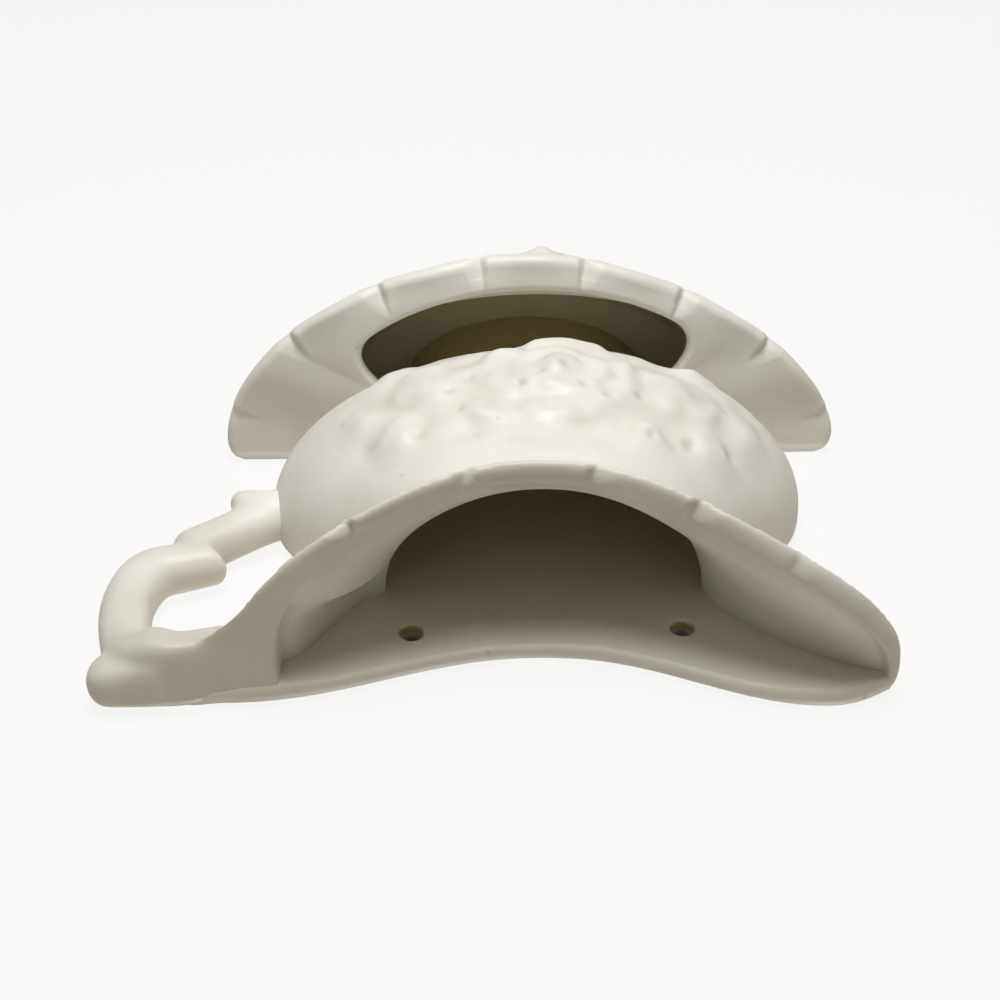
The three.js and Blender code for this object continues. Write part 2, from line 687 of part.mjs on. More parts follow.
function patch(surface, x, z) {
  const tiny = 0.01;
  const middle = Math.acos(x / surface(0, z).x);
  const pace = surface(middle + tiny, z).distanceTo(surface(middle - tiny, z)) / (2 * tiny);
  const climb = surface(middle, z + tiny).distanceTo(surface(middle, z - tiny)) / (2 * tiny);
  return (across, up, lift) => {
    const t = middle - across / pace;
    const height = z + up / climb;
    const along = surface(t - tiny, height).sub(surface(t + tiny, height));
    const upwards = surface(t, height + tiny).sub(surface(t, height - tiny));
    const normal = along.cross(upwards).normalize();
    return surface(t, height).addScaledVector(normal, LUTE + lift);
  };
}

// A bloom seen from above: an outer and an inner ring of petals round a closed heart
function rose(surface, { x, z, radius }, relief) {
  const on = patch(surface, x, z);
  const sides = ROSE_PETALS * PETAL_SIDES;
  const rings = [
    { out: 0.1, lift: 0, wave: 0 },
    { out: 0.4, lift: 0, wave: 0 },
    { out: 0.7, lift: 0, wave: 0 },
    { out: 0.96, lift: 0, wave: 0.5 },
    { out: 1, lift: 0.35, wave: 0.5 },
    { out: 0.86, lift: 0.78, wave: 0.5 },
    { out: 0.6, lift: 0.5, wave: 0 },
    { out: 0.46, lift: 1, wave: -0.5 },
    { out: 0.24, lift: 0.7, wave: 0 },
    { out: 0.1, lift: 0.95, wave: 0 },
  ];
  const loops = rings.map(({ out, lift, wave }) => steps(sides).slice(1).map((turn) => {
    const angle = turn * Math.PI * 2;
    const lobes = 1 + PETAL_WAVE * wave * Math.cos(ROSE_PETALS * angle);
    const reach = radius * out * lobes;
    return on(reach * Math.cos(angle), reach * Math.sin(angle), relief * lift * lobes);
  }));
  return loft(loops, 'fan');
}

// A pointed leaf with a raised midrib, from its stalk at the patch's middle towards heading
function leaf(surface, { x, z, length, width, heading }) {
  const on = patch(surface, x, z);
  const along = { x: Math.cos(heading), z: Math.sin(heading) };
  const point = (far, aside, lift) => {
    const across = far * along.x - aside * along.z;
    const up = far * along.z + aside * along.x;
    return on(across, up, lift);
  };
  const loops = steps(9).map((share) => {
    const half = Math.max((width / 2) * Math.sin(Math.PI * share ** 0.8) ** 0.8, SPRAY_STEM_RADIUS / 4);
    const thick = LEAF_RELIEF * mix(0.5, 1, Math.sin(Math.PI * share));
    const far = share * length;
    return [
      point(far, -half, 0),
      point(far, 0, 0),
      point(far, half, 0),
      point(far, half * 0.96, thick * 0.4),
      point(far, half * 0.5, thick * 0.85),
      point(far, 0, thick),
      point(far, -half * 0.5, thick * 0.85),
      point(far, -half * 0.96, thick * 0.4),
    ];
  });
  return loft(loops, 'fan');
}

// A half-round stalk from one place on the patch to another, bowed aside
function stalk(surface, { x: middle, z: height, from, to, bow }) {
  const on = patch(surface, middle, height);
  const run = { x: to.x - from.x, z: to.z - from.z };
  const long = Math.hypot(run.x, run.z);
  const loops = steps(10).map((share) => {
    const aside = bow * Math.sin(Math.PI * share);
    const x = from.x + run.x * share - (aside * run.z) / long;
    const z = from.z + run.z * share + (aside * run.x) / long;
    return steps(4).map((turn) => {
      const angle = turn * Math.PI;
      const reach = SPRAY_STEM_RADIUS * Math.cos(angle);
      const lift = SPRAY_STEM_RADIUS * Math.sin(angle);
      return on(x - (reach * run.z) / long, z + (reach * run.x) / long, lift);
    });
  });
  return loft(loops, 'fan');
}

const planter = new THREE.Group();
planter.name = 'wall_pocket_planter';
planter.position.z = -HOLE_HEIGHT;

function addPiece(name, geometry, color) {
  const material = new THREE.MeshStandardMaterial({ color, roughness: 0.32, metalness: 0 });
  const mesh = new THREE.Mesh(geometry, material);
  mesh.name = name;
  planter.add(mesh);
}

addPiece('back_wall', backSlab(), SHADED_GLAZE);
addPiece('pitcher_body', ewerBody(), IVORY_GLAZE);
addPiece('pitcher_lip', ewerLip(), IVORY_GLAZE);
addPiece('basin_bowl', basinBowl(), IVORY_GLAZE);
addPiece('basin_foot', basinFoot(), SHADED_GLAZE);
addPiece('basin_rim', basinRim(), IVORY_GLAZE);
addPiece('handle_stem', handleStem(), IVORY_GLAZE);
addPiece('handle_knuckle', handleKnuckle(), RELIEF_GLAZE);
addPiece('twig_stub_upper', twigStub(LEDGE_START, UPPER_STUB), RELIEF_GLAZE);
addPiece('twig_stub_lower', twigStub(BELLY_SIDE, LOWER_STUB), RELIEF_GLAZE);
for (const bloom of FRONT_ROSES) {
  addPiece(bloom.name, rose(ewerSurface, bloom, ROSE_RELIEF), RELIEF_GLAZE);
}
for (const blade of FRONT_LEAVES) {
  addPiece(blade.name, leaf(ewerSurface, blade), RELIEF_GLAZE);
}
addPiece('spray_stem', stalk(ewerSurface, SPRAY_STEM), RELIEF_GLAZE);
addPiece('basin_rose', rose(bowlSurface, BASIN_ROSE, BASIN_ROSE_RELIEF), RELIEF_GLAZE);
for (const blade of BASIN_LEAVES) {
  addPiece(blade.name, leaf(bowlSurface, blade), RELIEF_GLAZE);
}

export default planter;
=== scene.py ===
# %% [markdown]
# A ceramic wall pocket: half a ewer standing in half a wash basin, flat behind, with two screw
# holes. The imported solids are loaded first, because they give every size and place. Each clay
# part is then modelled again, finer, and stands in for one plain solid or for several of them.

# %% Load the frame
import math

import bmesh
import bpy
import numpy as np
from mathutils import Matrix, Vector, noise


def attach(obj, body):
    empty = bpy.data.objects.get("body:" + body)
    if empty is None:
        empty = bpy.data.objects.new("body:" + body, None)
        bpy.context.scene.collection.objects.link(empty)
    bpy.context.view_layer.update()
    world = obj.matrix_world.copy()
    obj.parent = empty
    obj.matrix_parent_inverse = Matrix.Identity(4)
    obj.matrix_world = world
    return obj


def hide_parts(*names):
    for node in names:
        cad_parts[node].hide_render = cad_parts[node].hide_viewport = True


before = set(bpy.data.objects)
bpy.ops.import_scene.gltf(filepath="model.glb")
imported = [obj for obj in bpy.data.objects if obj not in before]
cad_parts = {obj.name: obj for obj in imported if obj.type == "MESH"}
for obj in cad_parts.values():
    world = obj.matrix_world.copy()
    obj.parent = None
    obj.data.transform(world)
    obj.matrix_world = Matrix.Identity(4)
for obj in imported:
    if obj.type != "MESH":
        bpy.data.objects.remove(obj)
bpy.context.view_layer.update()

# %% [markdown]
# The pocket is seen lying on its back, from the mouth's end, a little above the surface that it
# lies on. In the frame of the part that is a camera high above the mouth which looks down the
# wall. Up in the picture is then out of the wall, so the camera is turned by its own axes.

# %% Camera
CAMERA_PLACE = Vector((0.0197, -0.2436, 0.3238))
CAMERA_FORWARD = Vector((-0.0225, 0.5299, -0.8478)).normalized()
OUT_OF_WALL = Vector((0, -1, 0))
CAMERA_LENS = 61.2


def linked(name, data):
    """A new object in the scene."""
    made = bpy.data.objects.new(name, data)
    bpy.context.collection.objects.link(made)
    return made


image_right = CAMERA_FORWARD.cross(OUT_OF_WALL).normalized()
image_up = image_right.cross(CAMERA_FORWARD)
camera = linked("camera", bpy.data.cameras.new("camera"))
camera.data.lens = CAMERA_LENS
camera.data.clip_start = 0.01
axes = Matrix((image_right, image_up, -CAMERA_FORWARD)).transposed()
camera.matrix_world = Matrix.Translation(CAMERA_PLACE) @ axes.to_4x4()
bpy.context.scene.camera = camera
print("camera looks along", tuple(round(c, 3) for c in CAMERA_FORWARD))

# %% [markdown]
# The glaze is an ivory white that lies unevenly: a little thinner and whiter on raised edges, pooled and
# warmer in hollows, with a faint mottling and a few pinholes. One way is to paint this on pictures. Here it
# is a node group instead, which mixes noise with an attribute that each piece carries, so it follows the
# shape from every side. The same attribute also carries painted shade, on the lip and the handle and in the
# hollows of the belly, which takes the pooled colour.

# %% Shader group: uneven glaze and painted shade
def span(*values):
    return dict(zip(("From Min", "From Max", "To Min", "To Max"), values))


def add_nodes(tree, **kinds):
    """New nodes by name. A kind can hold its mode, as in "Math ADD", and come with preset inputs."""
    nodes = {}
    for name, kind in kinds.items():
        kind, presets = (kind, {}) if isinstance(kind, str) else kind
        kind, _, mode = kind.partition(" ")
        nodes[name] = tree.nodes.new("ShaderNode" + kind)
        if mode:
            setattr(nodes[name], "data_type" if kind == "Mix" else "operation", mode)
        for socket, value in presets.items():
            nodes[name].inputs[socket].default_value = value
    return nodes


def wire(tree, nodes, *links):
    """Links written as "node.Socket > node.Socket"; a digit is the place of a socket."""
    for text in links:
        (source, out), (target, into) = (end.split(".") for end in text.split(" > "))
        out, into = (int(socket) if socket.isdigit() else socket for socket in (out, into))
        tree.links.new(nodes[source].outputs[out], nodes[target].inputs[into])


# Its pool input carries pooled glaze and painted shade alike; the first output adds mottling and pinholes to
# it.
def uneven_glaze_group():
    group = bpy.data.node_groups.new("uneven_glaze", "ShaderNodeTree")
    for name, kind in (("Vector", "Vector"), ("Pool", "Float"), ("Mottle Scale", "Float")):
        group.interface.new_socket(name, in_out="INPUT", socket_type="NodeSocket" + kind)
    for name in ("Thickness", "Roughness", "Height"):
        group.interface.new_socket(name, in_out="OUTPUT", socket_type="NodeSocketFloat")
    n = add_nodes(
        group, cloud=("TexNoise", {"Detail": 4}), fine=("TexNoise", {"Scale": 420, "Detail": 3}),
        ripple=("TexNoise", {"Scale": 260, "Detail": 2}), pits=("TexVoronoi", {"Scale": 75}),
        cloud_share=("MapRange", span(0.3, 0.7, 0, 0.45)), pit_mask=("MapRange", span(0.03, 0.055, 1, 0)),
        rough=("MapRange", span(0.3, 0.7, 0.44, 0.58)), pooled=("Math MULTIPLY_ADD", {1: 0.75}),
        ripple_height=("Math MULTIPLY", {1: 0.6}), thick="Math ADD", height="Math SUBTRACT")
    n["thick"].use_clamp = True
    n["given"] = group.nodes.new("NodeGroupInput")
    n["made"] = group.nodes.new("NodeGroupOutput")
    wire(group, n, *(f"given.Vector > {texture}.Vector" for texture in ("cloud", "fine", "ripple", "pits")))
    wire(group, n, "given.Mottle Scale > cloud.Scale", "cloud.Fac > cloud_share.Value",
         "given.Pool > pooled.0", "cloud_share.Result > pooled.2", "pits.Distance > pit_mask.Value",
         "pooled.Value > thick.0", "pit_mask.Result > thick.1", "thick.Value > made.Thickness",
         "fine.Fac > rough.Value", "rough.Result > made.Roughness", "ripple.Fac > ripple_height.0",
         "ripple_height.Value > height.0", "pit_mask.Result > height.1", "height.Value > made.Height")
    return group


UNEVEN_GLAZE = uneven_glaze_group()
print("group outputs:", [s.name for s in UNEVEN_GLAZE.interface.items_tree if s.in_out == "OUTPUT"])

# %% [markdown]
# Three finishes come from that group. The body glaze covers ewer, basin and handle, the relief glaze is a
# shade whiter where it ran thin off the flowers, and the back is wiped before firing, so more of the buff
# clay shows there. Inside ewer and basin, and in the screw holes, shade is painted in as an olive brown
# darkening. Its place is an attribute on the mesh, not a second material, so it fades softly.

# %% Glaze finishes
# The pooled colour also serves as painted shade where a piece's attribute asks for it.
LOOKS = {  # color of thin and of pooled glaze, scale of the mottling, strength of the bump
    "ivory_glaze": ((0.865, 0.845, 0.79), (0.67, 0.635, 0.55), 38, 0.25),
    "relief_glaze": ((0.865, 0.845, 0.79), (0.7, 0.665, 0.58), 42, 0.25),
    "glazed_back": ((0.79, 0.76, 0.69), (0.66, 0.6, 0.48), 26, 0.35),
}
# Colour of the painted shade inside the hollows and the screw holes.
PAINTED_SHADE_COLOR = (0.5, 0.43, 0.2, 1)
BUMP_HEIGHT = 0.0004
COAT = {"Coat Weight": 0.15, "Coat Roughness": 0.3}
COLOR_A, COLOR_B = 6, 7  # places of a mix node's color sockets; its color comes out at place 2


def glaze_finish(name, thin, pooled, mottle_scale, bump):
    material = bpy.data.materials.new(name)
    material.use_nodes = True
    tree = material.node_tree
    n = add_nodes(
        tree, coordinates="TexCoord", pool="Attribute", stain="Attribute", glaze="Group",
        color=("Mix RGBA", {COLOR_A: (*thin, 1), COLOR_B: (*pooled, 1)}),
        stained=("Mix RGBA", {COLOR_B: PAINTED_SHADE_COLOR}),
        bump=("Bump", {"Strength": bump, "Distance": BUMP_HEIGHT}))
    for layer in ("pool", "stain"):
        n[layer].attribute_name = layer
    n["glaze"].node_tree = UNEVEN_GLAZE
    n["glaze"].inputs["Mottle Scale"].default_value = mottle_scale
    n["shader"] = tree.nodes["Principled BSDF"]
    for socket, value in COAT.items():
        n["shader"].inputs[socket].default_value = value
    wire(tree, n, "coordinates.Object > glaze.Vector", "pool.Fac > glaze.Pool",
         "glaze.Thickness > color.Factor", "color.2 > stained.6", "stain.Fac > stained.Factor",
         "stained.2 > shader.Base Color", "glaze.Roughness > shader.Roughness",
         "glaze.Height > bump.Height", "bump.Normal > shader.Normal")
    return material


FINISHES = {name: glaze_finish(name, *look) for name, look in LOOKS.items()}
print("finishes:", ", ".join(FINISHES))

# %% [markdown]
# Nearly every clay part is a wall bent round half an oval. Blender can spin a profile, but only
# in a circle, and these ovals change with the height. So a flat grid is made with an operator
# and each of its points is laid on the form by a formula, as a slab of clay is laid over a mould.

# %% Clay sheets
MM = 0.001
HOLE_HEIGHT = 140.5  # height of the origin over the underside of the foot, mm
SHARP_EDGE = math.radians(50)
MERGED_WITHIN = 2e-6


def place(x, depth, z):
    """Millimetres across, out of the wall and over the foot, as points in the frame."""
    x, depth, z = np.broadcast_arrays(x, depth, z)
    return np.stack((x, -depth, z - HOLE_HEIGHT), axis=-1) * MM


def height_of(points):
    return points[..., 2] / MM + HOLE_HEIGHT


def measured(points):
    """Points of the frame as mm across, out of the wall and over the foot."""
    return points[:, 0] / MM, -points[:, 1] / MM, height_of(points)


def mix(a, b, share):
    return a + (b - a) * share


def smoothstep(x, low, high):
    share = np.clip((x - low) / (high - low), 0, 1)
    return share * share * (3 - 2 * share)


def fading(x, low, high):
    return 1 - smoothstep(x, low, high)


def clay_sheet(across, along, shape):
    """A closed bmesh: a grid laid on shape(u, v), where u and v run from 0 to 1, with merged seams."""
    bm = bmesh.new()
    verts = bmesh.ops.create_grid(bm, x_segments=across, y_segments=along, size=0.5)["verts"]
    uv = np.array([vert.co[:2] for vert in verts]) + 0.5
    for vert, point in zip(verts, shape(uv[:, 0], uv[:, 1])):
        vert.co = point
    bmesh.ops.remove_doubles(bm, verts=bm.verts, dist=MERGED_WITHIN)
    bmesh.ops.holes_fill(bm, edges=[e for e in bm.edges if e.is_boundary], sides=0)
    bmesh.ops.recalc_face_normals(bm, faces=bm.faces)
    return bm


def as_mesh(name, bm):
    """A mesh of a bmesh, which is used up."""
    mesh = bpy.data.meshes.new(name)
    bm.to_mesh(mesh)
    bm.free()
    return mesh


def set_attribute(mesh, name, values):
    layer = mesh.attributes.new(name, "FLOAT", "POINT")
    layer.data.foreach_set("value", np.clip(values, 0, 1).astype(np.float32))


def mesh_points(mesh):
    points = np.empty(len(mesh.vertices) * 3, np.float32)
    mesh.vertices.foreach_get("co", points)
    return points.reshape(-1, 3).astype(float)


def fire(name, bm, slot, nodes, pool=None, stain=None):
    """Turn a bmesh into a glazed piece that rides on the root and stands for its nodes."""
    for vert in bm.verts:
        vert.co.y = min(vert.co.y, 0)
    mesh = as_mesh(name, bm)
    mesh.polygons.foreach_set("use_smooth", [True] * len(mesh.polygons))
    mesh.set_sharp_from_angle(angle=SHARP_EDGE)
    points = mesh_points(mesh)
    # The first attribute holds pooled glaze together with painted shade, the second the painted shade of the
    # hollows.
    set_attribute(mesh, "pool", pool(points) if pool else np.zeros(len(points)))
    set_attribute(mesh, "stain", stain(points) if stain else np.zeros(len(points)))
    mesh.materials.append(FINISHES[slot])
    piece = linked(name, mesh)
    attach(piece, "root")
    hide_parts(*nodes)
    print(name, "faces:", len(mesh.polygons))


print("the origin is", height_of(np.zeros(3)), "mm over the foot")

# %% [markdown]
# The ewer's belly is an ellipsoid that turns softly into a neck above and a foot below. The
# outer and the inner face of the wall are one closed profile, carried round half an oval from
# the handle's side over the front to the spout's side. At both ends a short straight tail runs
# down the side of the flat back, so the joint is covered.

# %% Ewer forms
WALL = 5.0
SEAT = 5.3
TAIL_SHARE = 0.012  # share of the way round that each tail takes
TAIL_DEPTH = 2.4
BELLY_HALF, BELLY_DEPTH, BELLY_HEIGHT, BELLY_RISE = 68.8, 44.6, 85.0, 45.0
NECK_HALF, NECK_DEPTH, NECK_HEIGHT = 43.5, 42.5, 124.0
EWER_FOOT_HALF, EWER_FOOT_DEPTH, EWER_FOOT_HEIGHT = 34.0, 24.0, 11.4
SHOULDER_BLEND, SHOULDER_SETTLE = 0.16, 14.0
# Painted shade in the mouth:
MOUTH_PAINTED_SHADE, PAINTED_SHADE_HEIGHTS = 0.5, (92, 142)  # full at the lower height, none at the upper


def half_ring(t, half, depth, z, fullness=2.0):
    across = np.sign(np.cos(t)) * np.abs(np.cos(t)) ** (2 / fullness)
    forward = np.abs(np.sin(t)) ** (2 / fullness)
    return place(half * across, SEAT + (depth - SEAT) * forward, z)


def ewer_profile(z, belly, neck, foot):
    u = (z - BELLY_HEIGHT) / BELLY_RISE
    ellipse = np.sqrt(np.maximum(1 - u * u, 0))
    waist = np.where(z > BELLY_HEIGHT, neck, foot) / belly
    overlap = np.maximum(SHOULDER_BLEND - np.abs(ellipse - waist), 0) / SHOULDER_BLEND
    settled = smoothstep(np.abs(z - BELLY_HEIGHT), 0, SHOULDER_SETTLE)
    return belly * (np.maximum(ellipse, waist) + settled * overlap * overlap * SHOULDER_BLEND / 4)


def ewer_size(z, offset):
    half = ewer_profile(z, BELLY_HALF, NECK_HALF, EWER_FOOT_HALF) + offset
    return half, ewer_profile(z, BELLY_DEPTH, NECK_DEPTH, EWER_FOOT_DEPTH) + offset


def ewer_surface(t, z, offset=0.0):
    return half_ring(t, *ewer_size(z, offset), z)


def around(u):
    """The angle for a share of the way round, and how far a point is down the tail."""
    way = u * (1 + 2 * TAIL_SHARE) - TAIL_SHARE
    tail = np.maximum(np.maximum(-way, way - 1), 0) / TAIL_SHARE
    return np.clip(way, 0, 1) * math.pi, tail


def walled(across, rows, shape, tail_depth=TAIL_DEPTH, tuck=0.0):
    """A closed profile carried round the half oval; tuck draws in the ends of the tails."""

    def on_form(u, v):
        t, tail = around(u)
        points = shape(t, np.rint(v * rows).astype(int) % rows)
        points[:, 1] += tail * tail_depth * MM
        points[:, 0] *= 1 - tuck * (1 - np.sqrt(1 - np.minimum(tail, 1) ** 2))
        return points

    return clay_sheet(across, rows, on_form)


def in_ewer(points, margin):
    """Whether points lie in the hollow of ewer and lip, margin mm inside its outer face."""
    x, out, z = measured(points)
    half, depth = ewer_size(z, -margin)
    return (x / half) ** 2 + ((out - SEAT) / (depth - SEAT)) ** 2 < 1


def mouth_painted_shade(z):
    """Painted shade grows with the depth under the mouth."""
    return MOUTH_PAINTED_SHADE * fading(z, *PAINTED_SHADE_HEIGHTS)


def ewer_painted_shade(points, margin):
    return np.where(in_ewer(points, margin), mouth_painted_shade(height_of(points)), 0)


print("belly:", 2 * BELLY_HALF, "mm wide, neck:", 2 * NECK_HALF, "mm wide")

# %% [markdown]
# Under the pressed flowers the belly isn't smooth: slip and glaze have filled the ground between
# the leaves with soft lumps. They could be bump, but the outline shows them, so they are in the
# mesh: noise lifts the points under the spray, and fades out towards the smooth clay beside it.

# %% Ewer belly
BELLY_COLUMNS = 330
FINE_FROM = 50  # under this height the ewer stands in the basin, and rows are few
LIFT_FADE = 6
SPRAY_MIDDLE = (-4.0, 88.0)
SPRAY_HALF = (59.0, 32.0)
LUMP_SIZE, LUMP_LIFT, LUMP_UNEVEN = 8.5, 0.7, 1.3
HAND_WAVE, HAND_WAVE_SIZE = 0.3, 32  # slow unevenness of hand-finished clay
DIMPLE_SEED, DIMPLE_COUNT = 11, 26
DIMPLE_SHARE = 0.6  # glaze fills the rest of each hollow
# Pooled glaze with painted shade, between the lumps and in the dimples.
LUMP_POOL_AND_SHADE, DIMPLE_POOL_AND_SHADE = 0.7, 1.2
# Painted shade on the foot, where it stands in the basin.
FOOT_PAINTED_SHADE_HEIGHTS = 44, 49
MAIN_DIMPLES = (  # x, z, depth and radius, mm
    (22.1, 92.8, 1.5, 1.5), (17.5, 87.9, 1.1, 1.6), (5.2, 95.4, 1.5, 1.3), (0.1, 91.4, 1.3, 1.4),
    (-6.3, 89.4, 1.3, 1.5), (-10.4, 96.1, 1.5, 1.4), (-16.2, 98.8, 1.3, 1.5), (-24.6, 95.8, 1.0, 1.4),
    (19.8, 100.9, 1.2, 1.0), (-25.8, 109.9, 1.0, 1.3), (-35.8, 108.0, 1.4, 1.8), (-46.0, 105.0, 1.3, 1.8),
    (43.0, 103.5, 1.1, 2.2), (30.0, 106.5, 1.0, 1.5),
)


def scattered_dimples():
    draw = np.random.RandomState(DIMPLE_SEED)
    turn = draw.uniform(0, 2 * math.pi, DIMPLE_COUNT)
    reach = np.sqrt(draw.uniform(0.02, 0.9, DIMPLE_COUNT))
    x = SPRAY_MIDDLE[0] + SPRAY_HALF[0] * reach * np.cos(turn)
    z = SPRAY_MIDDLE[1] + SPRAY_HALF[1] * reach * np.sin(turn)
    return np.stack((x, z, draw.uniform(0.2, 0.55, DIMPLE_COUNT), draw.uniform(1.2, 2.6, DIMPLE_COUNT)), 1)


DIMPLES = np.concatenate((np.array(MAIN_DIMPLES), scattered_dimples()))


def dimples(x, z):
    """Depth in mm of the small hollows between leaves and petals."""
    depth = np.zeros(len(x))
    for at_x, at_z, deep, radius in DIMPLES:
        depth += DIMPLE_SHARE * deep * np.exp(-((x - at_x) ** 2 + (z - at_z) ** 2) / radius**2)
    return depth


def spray_cover(x, z):
    reach = np.hypot((x - SPRAY_MIDDLE[0]) / SPRAY_HALF[0], (z - SPRAY_MIDDLE[1]) / SPRAY_HALF[1])
    return fading(reach, 0.7, 1.1)


def lumps(points, size):
    return np.array([noise.noise(Vector(p) / (size * MM)) for p in points])


outer_heights = np.concatenate((np.linspace(EWER_FOOT_HEIGHT, FINE_FROM, 12)[:-1],
                                np.linspace(FINE_FROM, NECK_HEIGHT, 132)))
inner_heights = np.linspace(NECK_HEIGHT, EWER_FOOT_HEIGHT, 26)
belly_heights = np.concatenate((outer_heights, inner_heights))
belly_is_outer = np.arange(len(belly_heights)) < len(outer_heights)


def belly_lift(t, z):
    """Height in mm of the uneven ground under the flowers."""
    plain = ewer_surface(t, z)
    x = plain[:, 0] / MM
    slow = lumps(plain, HAND_WAVE_SIZE) * HAND_WAVE * np.sin(t)
    uneven = spray_cover(x, z) * (LUMP_LIFT + LUMP_UNEVEN * lumps(plain, LUMP_SIZE))
    return uneven - dimples(x, z) + slow


def belly_shape(t, row):
    z = belly_heights[row]
    lift = belly_lift(t, z) * fading(z, NECK_HEIGHT - LIFT_FADE, NECK_HEIGHT)
    return ewer_surface(t, z, np.where(belly_is_outer[row], lift, -WALL))


# Pooled glaze and painted shade: darker between the lumps under the spray, and in the dimples.
def belly_pool_and_shade(points):
    x, _, z = measured(points)
    front = np.where(in_ewer(points, WALL / 2), 0, 1)
    low = np.clip(0.2 - lumps(points, LUMP_SIZE), 0, 1)
    return front * (spray_cover(x, z) * low * LUMP_POOL_AND_SHADE + DIMPLE_POOL_AND_SHADE * dimples(x, z))


def belly_painted_shade(points):
    """Painted shade inside the ewer, and outside on the foot that stands in the dark of the basin."""
    on_foot = fading(height_of(points), *FOOT_PAINTED_SHADE_HEIGHTS)
    return np.maximum(ewer_painted_shade(points, WALL / 2), on_foot)


belly_bm = walled(BELLY_COLUMNS, len(belly_heights), belly_shape)
fire("ewer_belly", belly_bm, "ivory_glaze", ("pitcher_body",), belly_pool_and_shade, belly_painted_shade)

# %% [markdown]
# The mouth flares from the neck into a wide lip, drawn out to a pouring spout on one side and to
# the handle on the other, and its edge dips between them like a saddle. Its plan is two half
# ovals, and every point of the flare lies between the neck and that plan.

# %% Plan and flare of the lip
LIP_SHIFT = 4.0
LIP_HANDLE, LIP_SPOUT, LIP_DEPTH, LIP_HEIGHT = 72.0, 84.0, 54.5, 145.0
LIP_WALL, SPOUT_WALL, HANDLE_END_WALL = 6.2, 3.8, 14.5
MOUTH_FULLNESS, SPOUT_FULLNESS = 2.6, 1.8  # over 2 is squarer than an oval, under 2 more pointed
SPOUT_RISE, SPOUT_PEAK, SPOUT_SWEEP, NOSE_DROP = 19.6, 67.0, 2.5, 8.0
HANDLE_RISE, HANDLE_PEAK, HANDLE_SWEEP = 15.0, 68.0, 2.0
FLARE_OUT, FLARE_UP = 1.4, 1.3
HANDLE_FLARE_OUTSIDE, HANDLE_FLARE_INSIDE = 1.1, 0.55  # the same at the mouth's steep handle end
LEDGE_SWELL, LEDGE_SWELL_DEPTHS = 8.0, (13.0, 26.0)  # how the lip runs out into the ledge
SPOUT_ROLL, ROLL_FROM, ROLL_TO = 2.2, (0.25, 0.7), (0.93, 1.0)  # the band beside the spout leans out
BESIDE_BACK = 0.93, 0.995  # where the cosine of the turn is near 1


def saddle(x):
    away = x - LIP_SHIFT
    handle_share = np.clip(away / HANDLE_PEAK, 0, 1)
    spout_share = np.clip(-away / SPOUT_PEAK, 0, 1)
    past = np.maximum(-away - SPOUT_PEAK, 0) / (LIP_SPOUT - SPOUT_PEAK)
    handle_rise = HANDLE_RISE * np.sin(handle_share * math.pi / 2) ** HANDLE_SWEEP
    spout_rise = SPOUT_RISE * np.sin(spout_share * math.pi / 2) ** SPOUT_SWEEP
    return LIP_HEIGHT + handle_rise + spout_rise - NOSE_DROP * past ** 2


def shifted(points):
    points[..., 0] += LIP_SHIFT * MM
    return points


def spout_roll(t):
    return SPOUT_ROLL * smoothstep(-np.cos(t), *ROLL_FROM) * fading(-np.cos(t), *ROLL_TO)


def lip_plan(t, offset=0.0):
    offset = offset - 0.5 * spout_roll(t)
    reach = np.where(np.cos(t) > 0, LIP_HANDLE, LIP_SPOUT) + offset
    points = shifted(half_ring(t, reach, LIP_DEPTH + offset, 0))
    swell = LEDGE_SWELL * fading(-points[..., 1] / MM, *LEDGE_SWELL_DEPTHS)
    points[..., 0] += np.where(np.cos(t) > 0, swell, 0) * MM
    return points


def mouth_plan(t):
    handle_side = np.cos(t) > 0
    reach = np.where(handle_side, LIP_HANDLE - HANDLE_END_WALL, LIP_SPOUT - SPOUT_WALL)
    fullness = np.where(handle_side, MOUTH_FULLNESS, SPOUT_FULLNESS)
    return shifted(half_ring(t, reach, LIP_DEPTH - LIP_WALL, 0, fullness))


def beside_back(t):
    """1 at the handle's end of the lip, close to the back, and 0 elsewhere."""
    return smoothstep(np.cos(t), *BESIDE_BACK)


def lip_flare(t, v, neck_offset, edge, handle_flare):
    out = v ** mix(FLARE_OUT, handle_flare, beside_back(t))
    points = mix(ewer_surface(t, NECK_HEIGHT, neck_offset), edge, out[:, None])
    top = saddle(edge[:, 0] / MM)
    points[:, 2] = (mix(NECK_HEIGHT, top, 1 - (1 - v) ** FLARE_UP) - HOLE_HEIGHT) * MM
    return points


print("lip:", LIP_HANDLE + LIP_SPOUT, "mm wide,", LIP_DEPTH, "mm deep")

# %% [markdown]
# The edge is pinched at even steps, as a pie crust is: each pinch is a short valley that runs in
# from the edge, steep towards the front and drawn out behind. Separate cutters would leave hard
# edges, so the valleys are a formula that the sheets of lip and basin rim both take off.

# %% Pinches
CRIMP_PITCH, CRIMP_REACH, CRIMP_DEPTH, CRIMP_NOTCH = 28.5, 11.0, 1.9, 0.5
SPOUT_PITCH = 23.0
CRIMP_BEHIND, CRIMP_AHEAD, CRIMP_RIDGE = 5.4, 1.9, 0.08  # drawn-out side, steep side, ridge before it
HANDLE_FADES = (0.65, 50, 62), (0.35, 76, 86)  # share of a pinch lost between two lengths of edge
SPOUT_FADES = (0.6, 44, 54), (0.4, 66, 74)


def lengths(vectors):
    return np.linalg.norm(vectors, axis=1)


def crimp_table(plan):
    """Arc length from the middle of the front, for a fine row of angles."""
    angles = np.linspace(0, math.pi, 2001)
    points = plan(angles)
    arcs = np.concatenate(([0], np.cumsum(lengths(np.diff(points, axis=0))))) / MM
    return angles, np.abs(arcs - np.interp(math.pi / 2, angles, arcs))


